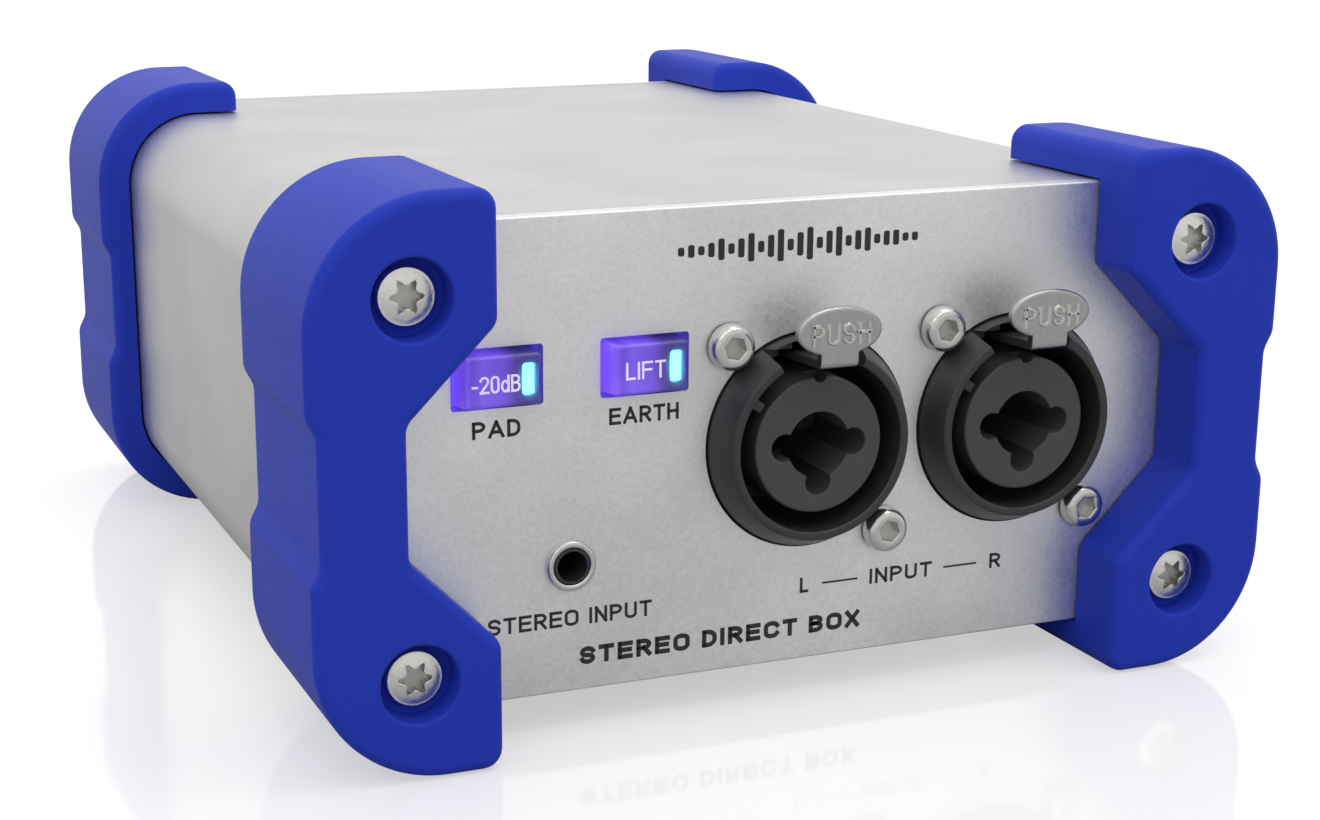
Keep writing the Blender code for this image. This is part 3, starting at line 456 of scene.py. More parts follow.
def set_line(text: str, reach: float) -> tuple[float, list[list[Point]]]:
    """Sets letters of height 1 in a line.

    Args:
        text: the words.
        reach: width of a stroke.

    Returns:
        The line's length and the centre lines of its strokes.
    """
    gap = LETTER_GAP + reach
    lines, cursor = [], 0.0
    for letter in text:
        if letter == " ":
            cursor += WORD_GAP
            continue
        wide, strokes = glyph(letter)
        lines += [[(x + cursor, y) for x, y in line] for line in strokes]
        cursor += wide + gap
    return cursor - gap, lines


def add_stroke(curve: bpy.types.Curve, points: list[Vector]) -> None:
    """Adds a stroke to a curve, closed or run on by half its width at both ends.

    Args:
        curve: the curve.
        points: the stroke's centre line.
    """
    looped = (points[0] - points[-1]).length < 1e-4
    if looped:
        points.pop()
    else:
        ends = ((0, 1), (-1, -2))
        moved = [points[a] + (points[a] - points[b]).normalized() * 0.5 for a, b in ends]
        points[0], points[-1] = moved
    spline = curve.splines.new("POLY")
    spline.points.add(len(points) - 1)
    for point, spot in zip(spline.points, points):
        point.co = (*spot, 1.0)
    spline.use_cyclic_u = looped


def lettering(text: str, box: Sequence[float], stroke: float, thick: float) -> Shape:
    """Words in plain upright strokes that fill a box on the panel.

    Args:
        text: the words.
        box: left, right, bottom and top edges.
        stroke: width of the strokes.
        thick: how far the strokes' crowns stand out of the panel.

    Returns:
        The letters as flattened closed tubes, half sunk in the panel.
    """
    left, right, bottom, top = box
    length, lines = set_line(text, stroke / (top - bottom))
    across, up = (right - left - stroke) / length, top - bottom - stroke
    curve = bpy.data.curves.new("lettering", "CURVE")
    curve.dimensions = "3D"
    curve.bevel_depth = 0.5
    curve.bevel_resolution = 1
    curve.use_fill_caps = True
    for line in lines:
        add_stroke(curve, [Vector(((x * across) / stroke, (y * up) / stroke, 0.0)) for x, y in line])
    item = bpy.data.objects.new("lettering", curve)
    bpy.context.scene.collection.objects.link(item)
    graph = bpy.context.evaluated_depsgraph_get()
    mesh = bpy.data.meshes.new_from_object(item.evaluated_get(graph))
    bpy.data.objects.remove(item, do_unlink=True)
    shape = bmesh.new()
    shape.from_mesh(mesh)
    bpy.data.meshes.remove(mesh)
    bmesh.ops.remove_doubles(shape, verts=shape.verts, dist=1e-5)
    fit = Matrix.Diagonal((stroke, stroke, 2.0 * thick, 1.0))
    place = Matrix.Translation((left + stroke / 2, bottom + stroke / 2, 0.0))
    bmesh.ops.transform(shape, matrix=place @ fit, verts=shape.verts)
    bmesh.ops.recalc_face_normals(shape, faces=shape.faces)
    return shape


# ---------------------------------------------------------------- finishes
def linear(hex_colour: str) -> tuple[float, float, float, float]:
    """Linear RGBA of an sRGB hex colour such as "3A4C5D"."""
    parts = [int(hex_colour[i:i + 2], 16) / 255.0 for i in (0, 2, 4)]
    return (*[p / 12.92 if p <= 0.04045 else ((p + 0.055) / 1.055) ** 2.4 for p in parts], 1.0)


def add_node(tree: bpy.types.NodeTree, kind: str, inputs: Optional[dict] = None,
             **settings) -> bpy.types.Node:
    """Adds a node with its settings, values and links.

    Args:
        tree: the node tree.
        kind: the node's type name.
        inputs: socket name or number to a value, or to a socket that is linked to it.
        **settings: the node's own properties.

    Returns:
        The node.
    """
    node = tree.nodes.new(kind)
    for name, value in settings.items():
        setattr(node, name, value)
    for name, value in (inputs or {}).items():
        if isinstance(value, bpy.types.NodeSocket):
            tree.links.new(value, node.inputs[name])
        else:
            node.inputs[name].default_value = value
    return node


def colour_ramp(tree: bpy.types.NodeTree, share: bpy.types.NodeSocket,
                stops: Sequence[tuple]) -> bpy.types.NodeSocket:
    """Colour that runs through stops as a share goes from 0 to 1.

    Args:
        tree: the node tree.
        share: the socket that the colour follows.
        stops: (share, linear RGBA) pairs.

    Returns:
        The colour's socket.
    """
    node = add_node(tree, "ShaderNodeValToRGB", {"Fac": share})
    elements = node.color_ramp.elements
    while len(elements) < len(stops):
        elements.new(0.5)
    for element, (at, colour) in zip(elements, stops):
        element.position = at
        element.color = colour
    return node.outputs["Color"]


@dataclass(frozen=True)
class Finish:
    """A surface with a fine grain, a slow drift of tone and a roughness that varies.

    grain is the width of one grain and drift the width of one cloudy patch, in millimetres;
    relief is the grain's height in millimetres, and tone how far the colour swings.
    """

    name: str
    colour: str
    roughness: float
    metallic: float = 0.0
    ior: float = 1.5
    grain: float = 0.4
    relief: float = 0.01
    tone: float = 0.06
    drift: float = 18.0
    rough_swing: float = 0.05
    stretch: tuple[float, float, float] = (1.0, 1.0, 1.0)
    shine: float = 0.5

    def material(self) -> bpy.types.Material:
        """Makes the finish's material the first time it is asked for.

        Returns:
            The material.
        """
        found = bpy.data.materials.get(self.name)
        if found:
            return found
        made = bpy.data.materials.new(self.name)
        made.use_nodes = True
        shader = made.node_tree.nodes["Principled BSDF"]
        shader.inputs["Metallic"].default_value = self.metallic
        if not self.metallic:
            shader.inputs["IOR"].default_value = self.ior
            shader.inputs["Specular IOR Level"].default_value = self.shine
        self.lay(made.node_tree, shader)
        return made

    def lay(self, tree: bpy.types.NodeTree, shader: bpy.types.Node) -> None:
        """Lays the grain, the tone and the roughness.

        Args:
            tree: the material's nodes.
            shader: its shader.
        """
        place = add_node(tree, "ShaderNodeTexCoord").outputs["Object"]
        spread = add_node(tree, "ShaderNodeMapping", {"Vector": place, "Scale": self.stretch})
        fine = add_node(
            tree, "ShaderNodeTexNoise",
            {"Vector": spread.outputs[0], "Scale": 1.0 / (self.grain * MM), "Detail": 3.0, "Roughness": 0.6},
        )
        cloud = add_node(
            tree, "ShaderNodeTexNoise",
            {"Vector": place, "Scale": 1.0 / (self.drift * MM), "Detail": 2.0, "Roughness": 0.5},
        )
        both = add_node(
            tree, "ShaderNodeMath", {0: fine.outputs["Fac"], 1: cloud.outputs["Fac"]}, operation="ADD",
        )
        base = linear(self.colour)
        dark = (*[c * (1.0 - self.tone) for c in base[:3]], 1.0)
        light = (*[min(1.0, c * (1.0 + self.tone)) for c in base[:3]], 1.0)
        share = add_node(
            tree, "ShaderNodeMapRange",
            {"Value": both.outputs[0], "From Min": 0.6, "From Max": 1.4},
        )
        blend = colour_ramp(tree, share.outputs[0], [(0.0, dark), (1.0, light)])
        tree.links.new(blend, shader.inputs["Base Color"])
        rough = add_node(
            tree, "ShaderNodeMapRange",
            {
                "Value": fine.outputs["Fac"], "From Min": 0.3, "From Max": 0.7,
                "To Min": self.roughness - self.rough_swing, "To Max": self.roughness + self.rough_swing,
            },
        )
        tree.links.new(rough.outputs[0], shader.inputs["Roughness"])
        bump = add_node(
            tree, "ShaderNodeBump",
            {"Height": fine.outputs["Fac"], "Strength": 1.0, "Distance": self.relief * MM},
        )
        tree.links.new(bump.outputs[0], shader.inputs["Normal"])


@dataclass(frozen=True)
class GlowingCap(Finish):
    """Tinted clear plastic with painted light and shade: its colour is brighter at its walls and darker
    before the lamp, and a painted glow round the lamp is emitted with it.

    painted_light_and_shade_stops run from the left wall to the right, painted_glow_stops from far off to the
    lamp, and halo is the half width and half height that the painted glow reaches.
    """

    middle: tuple[float, float, float] = (0.0, 0.0, 0.0)
    half_width: float = 5.0 * MM
    lamp: float = 3.0 * MM
    halo: Point = (1.9 * MM, 3.1 * MM)
    halo_depth: float = 20.0 * MM
    glow: float = 0.5
    painted_light_and_shade_stops: tuple = (
        (0.0, "8E66F8"), (0.08, "7A52EA"), (0.16, "5E42C4"), (0.28, "7050D8"), (0.52, "6446C8"),
        (0.64, "44358E"), (0.74, "332A70"), (0.92, "352E7C"), (1.0, "5C48D0"),
    )
    painted_glow_stops: tuple = ((0.0, "000000"), (0.25, "182E58"), (0.55, "38A8D8"), (1.0, "70E8FF"))

    def lay(self, tree: bpy.types.NodeTree, shader: bpy.types.Node) -> None:
        """Lays the plastic with its painted light and shade, from the left wall to the lamp, and the painted
        glow round the lamp.

        Args:
            tree: the material's nodes.
            shader: its shader.
        """
        super().lay(tree, shader)
        place = add_node(tree, "ShaderNodeTexCoord").outputs["Object"]
        split = add_node(tree, "ShaderNodeSeparateXYZ", {"Vector": place})
        run = add_node(
            tree, "ShaderNodeMapRange",
            {
                "Value": split.outputs["X"], "From Min": self.middle[0] - self.half_width,
                "From Max": self.middle[0] + self.half_width,
            },
        )
        # Painted light and shade in the cap's colour: bright at the walls, darker before the lamp.
        wall = colour_ramp(tree, run.outputs[0], [(at, linear(colour)) for at, colour in self.painted_light_and_shade_stops])
        tree.links.new(wall, shader.inputs["Base Color"])
        # Painted glow round the lamp.
        spread = add_node(
            tree, "ShaderNodeMapping",
            {
                "Vector": place, "Location": Vector(self.middle) + Vector((self.lamp, 0.0, 0.0)),
                "Scale": (self.halo[0], self.halo_depth, self.halo[1]),
            },
            vector_type="TEXTURE",
        )
        ball = add_node(
            tree, "ShaderNodeTexGradient", {"Vector": spread.outputs[0]}, gradient_type="SPHERICAL",
        )
        stops = [(at, linear(colour)) for at, colour in self.painted_glow_stops]
        halo = colour_ramp(tree, ball.outputs["Fac"], stops)
        # The painted light and shade and the painted glow are given off as emission.
        both = add_node(tree, "ShaderNodeVectorMath", {0: wall, 1: halo}, operation="ADD")
        tree.links.new(both.outputs[0], shader.inputs["Emission Color"])
        shader.inputs["Emission Strength"].default_value = self.glow
        shader.inputs["Coat Weight"].default_value = 0.3
        shader.inputs["Coat Roughness"].default_value = 0.12


@dataclass(frozen=True)
class LampAndPaintedGlow(Finish):
    """Diffuser that is lit from behind, and the painted glow of ink on a lit cap."""

    light: str = "9BF6FF"
    strength: float = 1.0

    def lay(self, tree: bpy.types.NodeTree, shader: bpy.types.Node) -> None:
        """Lays the surface and its emission, which is the lamp's light on the diffuser and painted glow on
        the ink.

        Args:
            tree: the material's nodes.
            shader: its shader.
        """
        super().lay(tree, shader)
        shader.inputs["Emission Color"].default_value = linear(self.light)
        shader.inputs["Emission Strength"].default_value = self.strength


# Anodised aluminium, bead-blasted: a satin grey whose tiny pits sparkle and mottle. The real
# pits are about 0.1 mm wide and are drawn wider, or they would be lost in the render.
SLEEVE = Finish("anodised_sleeve_blasted", "DCDBD9", 0.44, 1.0, grain=0.45, relief=0.012, tone=0.09)
PANEL = Finish("anodised_panel_blasted", "F8F7F6", 0.5, 1.0, grain=0.42, relief=0.022, tone=0.2)
# Thermoplastic rubber, moulded in a spark-eroded tool: deep blue with a broad soft shine.
BUMPER = Finish(
    "moulded_blue_rubber", "293EBC", 0.42, ior=1.3, grain=0.35, relief=0.006, tone=0.05, shine=0.2,
)
# Zinc-plated steel, tumbled: bright and a little uneven, with a warm grey in its shadows.
ZINC = Finish("bright_zinc_plate", "E4E3DF", 0.30, 1.0, grain=0.7, relief=0.035, tone=0.12)
# Glass-filled nylon, moulded: black that shines softly along its rims.
# The same black also paints the shade on the release lever's arm in the notch.
SOCKET_AND_SHADE = Finish("moulded_black_nylon_and_painted_shade", "323132", 0.38, grain=0.3, relief=0.004, tone=0.10)
INSERT = Finish("moulded_grey_nylon", "464546", 0.46, grain=0.3, relief=0.004, tone=0.06)
# Nickel-plated pressed steel: a bright, slightly yellow white with faint rolling lines.
NICKEL = Finish(
    "pressed_nickel_plate", "D2D1CE", 0.22, 1.0, grain=1.6, relief=0.004, tone=0.05, stretch=(1.0, 1.0, 6.0),
)
# The same steel, rolled to a satin, in a darker grey that is painted shade: a mid grey face between bright
# rounded edges.
SHADED_LEVER = Finish("satin_nickel_plate_painted_shade", "B4B3B2", 0.30, 1.0, grain=0.7, relief=0.005, tone=0.06)
# Bare floor of a formed recess: a dull, darker grey that is painted shade in the recess.
RECESS_SHADE = Finish("formed_steel_recess_painted_shade", "BDBBB7", 0.42, 1.0, grain=0.35, relief=0.03, tone=0.25)
# Screen-printed epoxy ink: flat and dense, with a slightly grainy edge to its gloss.
INK = Finish("printed_dark_ink", "26262A", 0.55, grain=0.3, relief=0.003, tone=0.15)
# The same ink in white on a lit cap, with a painted glow in its emission for the cap's light that shines
# through it a little.
WHITE_INK = LampAndPaintedGlow(
    "printed_white_ink_painted_glow", "E4DCF6", 0.5, grain=0.3, relief=0.003, tone=0.03, light="D9CCF5", strength=0.35,
)
# Opal polycarbonate, moulded, with the lamp close behind it: an even cyan.
LIGHT = LampAndPaintedGlow(
    "lit_cyan_diffuser", "9BF4FF", 0.3, grain=0.5, relief=0.003, tone=0.02, light="7FEFFF", strength=1.25,
)
# Turned brass with gold flash on the contacts, and the parts that are inside the case.
GOLD = Finish("gold_flashed_brass", "E3BE6A", 0.22, 1.0, grain=0.8, relief=0.003, tone=0.05)
RESIST = Finish("green_solder_resist", "12602C", 0.35, grain=1.2, relief=0.006, tone=0.14)
STEEL = Finish(
    "drawn_steel_can", "A4A4A4", 0.34, 1.0, grain=1.5, relief=0.008, tone=0.08, stretch=(1.0, 1.0, 5.0),
)
SHRINK = Finish("shrunk_vinyl_sleeve", "15171F", 0.30, grain=0.8, relief=0.006, tone=0.12)
SWITCH = Finish("moulded_black_polyester", "1E1E1F", 0.5, grain=0.5, relief=0.006, tone=0.12)

FRAME_FINISHES = {
    "circuit_board": RESIST, "steel_can": STEEL, "capacitor_sleeve": SHRINK, "switch_plastic": SWITCH,
    "nickel": NICKEL, "gold_contact": GOLD, "socket_plastic": SOCKET_AND_SHADE,
}


def add_piece(name: str, shape: Shape, seat: Matrix, finish: Finish,
              body: str = BODY, stands_for: Sequence[str] = (), crease: float = CREASE,
              inner: Optional[Finish] = None) -> bpy.types.Object:
    """Makes a finished piece in its place and sets it riding.

    Args:
        name: the piece's name.
        shape: its mesh in the panel's own frame.
        seat: the matrix that puts it in place.
        finish: its finish.
        body: the body that it rides on.
        stands_for: the frame's nodes that it replaces.
        crease: angle above which an edge is drawn sharp.
        inner: finish of the faces that were given material 1.

    Returns:
        The object.
    """
    bmesh.ops.transform(shape, matrix=seat, verts=shape.verts)
    if seat.determinant() < 0:
        bmesh.ops.reverse_faces(shape, faces=shape.faces)
    mesh = bpy.data.meshes.new(name)
    shape.to_mesh(mesh)
    shape.free()
    mesh.shade_smooth()
    mesh.set_sharp_from_angle(angle=crease)
    for coat in (finish, inner):
        if coat:
            mesh.materials.append(coat.material())
    item = bpy.data.objects.new(name, mesh)
    bpy.context.scene.collection.objects.link(item)
    level = item.modifiers.new("level_faces", "WEIGHTED_NORMAL")
    level.keep_sharp = True
    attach(item, body)
    if stands_for:
        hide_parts(*stands_for)
    LOG.info("%s: %d faces on %s", name, len(mesh.polygons), body)
    return item


def mark_recess_shade(shape: Shape, radius: float, low: float, high: float) -> None:
    """Gives material 1, whose darker grey is painted shade, to the faces of a recess.

    Args:
        shape: the mesh.
        radius: how far the recess reaches from the axis.
        low: its deepest depth.
        high: its shallowest depth.
    """
    for face in shape.faces:
        middle = face.calc_center_median()
        face.material_index = int(middle.xy.length < radius and low < middle.z < high)


# ---------------------------------------------------------------- case
@dataclass
class Case:
    """The extruded sleeve and the two panels with their holes."""

    layout: Layout
    radius: float = 10.0 * MM
    wall: float = 2.0 * MM
    panel: float = 2.0 * MM
    rim: float = 0.25 * MM
    corner_steps: int = 24
    end_round: float = 0.25 * MM
    screw_hole: float = 2.05 * MM
    barrel_hole: float = 12.7 * MM
    socket_screw_hole: float = 1.5 * MM
    window: Point = (5.25 * MM, 3.35 * MM)
    window_round: float = 0.4 * MM
    link_hole: float = 4.9 * MM
    mini_hole: float = 2.4 * MM

    def build(self) -> None:
        """Builds the sleeve and both panels."""
        self.build_sleeve()
        self.build_panel(End.FRONT)
        self.build_panel(End.REAR)

    def build_sleeve(self) -> None:
        """Tube with a rounded section and softened ends."""
        wide, high = self.layout.half_width, self.layout.half_height
        shape = rounded_outline(wide, high, self.radius, self.corner_steps)
        inner = rounded_outline(
            wide - self.wall, high - self.wall, self.radius - self.wall, self.corner_steps
        )
        carry(inner, shape)
        bmesh.ops.delete(shape, geom=shape.faces[:], context="FACES_ONLY")
        bmesh.ops.bridge_loops(shape, edges=shape.edges[:])
        low, high_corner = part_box("body_sleeve")
        back = self.layout.front_y - high_corner.y
        front = self.layout.front_y - low.y
        thicken(shape, back, front)
        middle = (back + front) / 2
        ends = [
            e for e in sharp_edges(shape)
            if abs(e.verts[0].co.z - e.verts[1].co.z) < WELD and abs(e.verts[0].co.z - middle) > WELD
        ]
        round_edges(shape, ends, self.end_round, 2)
        add_piece(
            "case_sleeve", shape, self.layout.seat(End.FRONT), SLEEVE,
            stands_for=["body_sleeve"],
        )

    def hole(self, spot: Point, radius: float, end: End, steps: int = 32) -> Shape:
        """Round hole in a panel about a spot in world (X, height)."""
        return disc(radius, steps, (spot[0] * end.side_sign, spot[1]))

    def build_panel(self, end: End) -> None:
        """Builds a plate with its holes and a softened outer edge.

        Args:
            end: the panel.
        """
        axis = self.layout.axis
        wide, high = self.layout.half_width, self.layout.half_height
        loops = [rounded_outline(wide, high, self.radius, self.corner_steps)]
        for side in SIDES:
            for level in ("lower", "upper"):
                spot = axis(f"bumper_screw_{end.value}_{side}_{level}")
                loops.append(self.hole(spot, self.screw_hole, end))
        family = "input" if end is End.FRONT else "output"
        for side in SIDES:
            front = end is End.FRONT
            spot = axis(f"input_insert_{side}") if front else self.layout.socket_axis(f"output_{side}")
            loops.append(self.hole(spot, self.barrel_hole, end, 96))
            for level in ("upper", "lower"):
                spot = axis(f"{family}_{side}_screw_{level}")
                loops.append(self.hole(spot, self.socket_screw_hole, end))
        if end is End.FRONT:
            loops += self.front_openings()
        else:
            loops += [self.hole(axis(f"link_nut_{side}"), self.link_hole, end, 48) for side in SIDES]
        shape = plate_with_holes(loops, -self.panel, 0.0)
        rim = pick_edges(
            shape,
            lambda a, b: abs(a.z) < WELD and abs(b.z) < WELD and self.on_outline(a) and self.on_outline(b),
        )
        round_edges(shape, [e for e in rim if e in set(sharp_edges(shape))], self.rim, 4)
        add_piece(
            f"{end.value}_plate", shape, self.layout.seat(end), PANEL,
            stands_for=[f"{end.value}_panel"],
        )

    def front_openings(self) -> list[Shape]:
        """Cuts the windows for the caps and the hole for the small jack.

        Returns:
            The holes' outlines.
        """
        openings = []
        for name in ("pad", "lift"):
            window = rounded_outline(*self.window, self.window_round, 4)
            bmesh.ops.translate(window, vec=(*self.layout.axis(f"{name}_switch"), 0.0), verts=window.verts)
            openings.append(window)
        openings.append(self.hole(self.layout.axis("mini_jack_nut"), self.mini_hole, End.FRONT))
        return openings

    def on_outline(self, spot: Vector) -> bool:
        """Tells the points of the panel's outer outline.

        Args:
            spot: a point of the panel.

        Returns:
            True where it lies on the outline.
        """
        wide, high, radius = self.layout.half_width, self.layout.half_height, self.radius
        across = max(abs(spot.x) - (wide - radius), 0.0)
        up = max(abs(spot.y) - (high - radius), 0.0)
        edge = abs(abs(spot.x) - wide) < WELD or abs(abs(spot.y) - high) < WELD
        return edge or (across > 0 and up > 0 and abs(math.hypot(across, up) - radius) < 1e-5)


# ---------------------------------------------------------------- bumpers
@dataclass
class Bumpers:
    """Four moulded corner bumpers with their counterbored screws."""

    layout: Layout
    thickness: float = 4.5 * MM
    nose: float = 8.3 * MM
    wrap: float = 20.2 * MM
    arm_reach: float = 16.1 * MM
    waist_reach: float = 6.1 * MM
    waist_half: float = 7.3 * MM
    recess_half: float = 6.8 * MM
    recess_ramp: float = 2.1 * MM
    recess_depth: float = 1.1 * MM
    case_radius: float = 10.0 * MM
    gap: float = 0.3 * MM
    rim: float = 1.35 * MM
    counterbore: float = 4.35 * MM
    mouth: float = 0.4 * MM
    head_radius: float = 3.12 * MM
    head_sink: float = 1.8 * MM
    bore_depth: float = 3.6 * MM
    shank: float = 1.75 * MM
    tip: float = -11.3 * MM
    head_edge: float = 0.3 * MM
    crown: float = 0.5 * MM
    star_radius: float = 1.42 * MM
    star_depth: float = 1.15 * MM

    def build(self) -> None:
        """Builds the bumpers and their screws."""
        for end in End:
            for hand in (1, -1):
                side = "right" if hand * end.side_sign > 0 else "left"
                self.build_bumper(end, hand, side)
                for level in ("lower", "upper"):
                    self.build_screw(end, side, level)

    def profile(self) -> Shape:
        """Draws the C-shaped outline of the right bumper, with its corners rounded.

        Returns:
            The face.
        """
        outer_x = self.layout.half_width + self.thickness
        outer_y = self.layout.half_height + self.thickness
        arm_x = self.layout.half_width - self.arm_reach
        waist_x = self.layout.half_width - self.waist_reach
        arm_y = self.waist_half + waist_x - arm_x
        ramp = self.recess_half + self.recess_ramp
        upper = [
            (outer_x - self.recess_depth, self.recess_half), (outer_x, ramp), (outer_x, outer_y),
            (arm_x, outer_y), (arm_x, arm_y), (waist_x, self.waist_half),
        ]
        shape = outline(upper + [(x, -y) for x, y in reversed(upper)])
        radius = self.case_radius + self.thickness
        corners = [
            (outer_x, outer_y, radius, 22), (arm_x, outer_y, 2.2 * MM, 6), (arm_x, arm_y, 0.8 * MM, 4),
            (waist_x, self.waist_half, 0.8 * MM, 4), (outer_x, ramp, 0.6 * MM, 3),
            (outer_x - self.recess_depth, self.recess_half, 0.6 * MM, 3),
        ]
        for sign in (1, -1):
            for x, y, width, segments in corners:
                round_corner(shape, (x, sign * y), width, segments)
        return shape

    def build_bumper(self, end: End, hand: int, side: str) -> None:
        """Builds a bumper: a rounded C that the case's corner and two counterbores are cut from.

        Args:
            end: its end of the case.
            hand: 1 at the viewer's right and -1 at the left.
            side: left or right, as in the frame's names.
        """
        shape = thicken(self.profile(), -self.wrap, self.nose)
        for depth in (self.nose, -self.wrap):
            rim = pick_edges(shape, lambda a, b: abs(a.z - depth) < WELD and abs(b.z - depth) < WELD)
            round_edges(shape, rim, self.rim, 5)
        space = rounded_outline(
            self.layout.half_width + self.gap, self.layout.half_height + self.gap,
            self.case_radius + self.gap, 24,
        )
        tools = [thicken(space, -self.wrap - 5.0 * MM, self.gap)]
        for level in ("lower", "upper"):
            x, up = self.layout.axis(f"bumper_screw_{end.value}_{side}_{level}")
            bore = self.bore()
            bmesh.ops.translate(bore, vec=(abs(x), up, 0.0), verts=bore.verts)
            tools.append(bore)
        shape = combine(shape, tools)
        seat = self.layout.seat(end) @ Matrix.Diagonal((hand, 1.0, 1.0, 1.0))
        add_piece(
            f"corner_bumper_{end.value}_{side}", shape, seat, BUMPER,
            stands_for=[f"bumper_{end.value}_{side}"],
        )

    def bore(self) -> Shape:
        """Shapes the counterbore, with a rounded mouth, and the shank's hole under it.

        Returns:
            The solid that is cut away.
        """
        floor = self.floor()
        hole = self.shank + self.gap
        mouth = bend((self.counterbore + self.mouth, self.nose - self.mouth), self.mouth, 90.0, 180.0, 4)
        top = self.nose + MM
        profile = [(0.0, top), (self.counterbore + self.mouth, top), *mouth]
        profile += bend((self.counterbore - self.mouth, floor + self.mouth), self.mouth, 0.0, -90.0, 3)
        profile += [(hole, floor), (hole, -MM), (0.0, -MM)]
        return turned(profile, 64)

    def build_screw(self, end: End, side: str, level: str) -> None:
        """Builds a domed screw with a six-pointed recess.

        Args:
            end: its end of the case.
            side: left or right.
            level: lower or upper.
        """
        name = f"bumper_screw_{end.value}_{side}_{level}"
        top, under = self.nose - self.head_sink, self.floor() + 0.05 * MM
        edge, under_edge, chamfer, steps = self.head_edge, 0.2 * MM, 0.6 * MM, 8
        reach = self.head_radius - 0.6 * edge
        shares = [step / steps for step in range(steps + 1)]
        profile = [(reach * share, top - self.crown * share ** 2) for share in shares]
        profile += bend((self.head_radius - edge, top - self.crown - edge * 0.8), edge, 55.0, 0.0, 4)
        profile += bend((self.head_radius - under_edge, under + under_edge), under_edge, 0.0, -90.0, 3)
        profile += [(self.shank, under), (self.shank, self.tip + chamfer), (self.shank - chamfer, self.tip)]
        screw = turned([*profile, (0.0, self.tip)], 64)
        x, up = self.layout.axis(name)
        screw = combine(screw, [self.star(top)])
        # The star recess takes a darker grey: painted shade.
        mark_recess_shade(screw, 1.95 * MM, top - 1.3 * MM, top - 0.5 * MM)
        rim = [
            e for e in sharp_edges(screw, math.radians(50.0))
            if min(v.co.z for v in e.verts) > top - 0.5 * MM and e.verts[0].co.xy.length < 2.2 * MM
        ]
        round_edges(screw, rim, 0.10 * MM, 2)
        add_piece(
            f"domed_screw_{end.value}_{side}_{level}", screw, self.layout.seat(end, x, up), ZINC,
            stands_for=[name], inner=RECESS_SHADE,
        )

    def floor(self) -> float:
        """Depth of the counterbore's floor in front of the panel."""
        return self.nose - self.bore_depth

    def star(self, top: float) -> Shape:
        """Shapes the six-pointed recess with a flat floor.

        Args:
            top: depth of the screw's crown.

        Returns:
            The solid that is cut away.
        """
        shape = disc(1.0, 72)
        for vertex in shape.verts:
            angle = math.atan2(vertex.co.y, vertex.co.x)
            points, flanks = 0.36 * math.cos(6.0 * angle), 0.08 * math.cos(12.0 * angle)
            radius = self.star_radius + (points + flanks) * MM
            vertex.co.x, vertex.co.y = radius * math.cos(angle), radius * math.sin(angle)
        return thicken(shape, top - self.star_depth, top + MM)


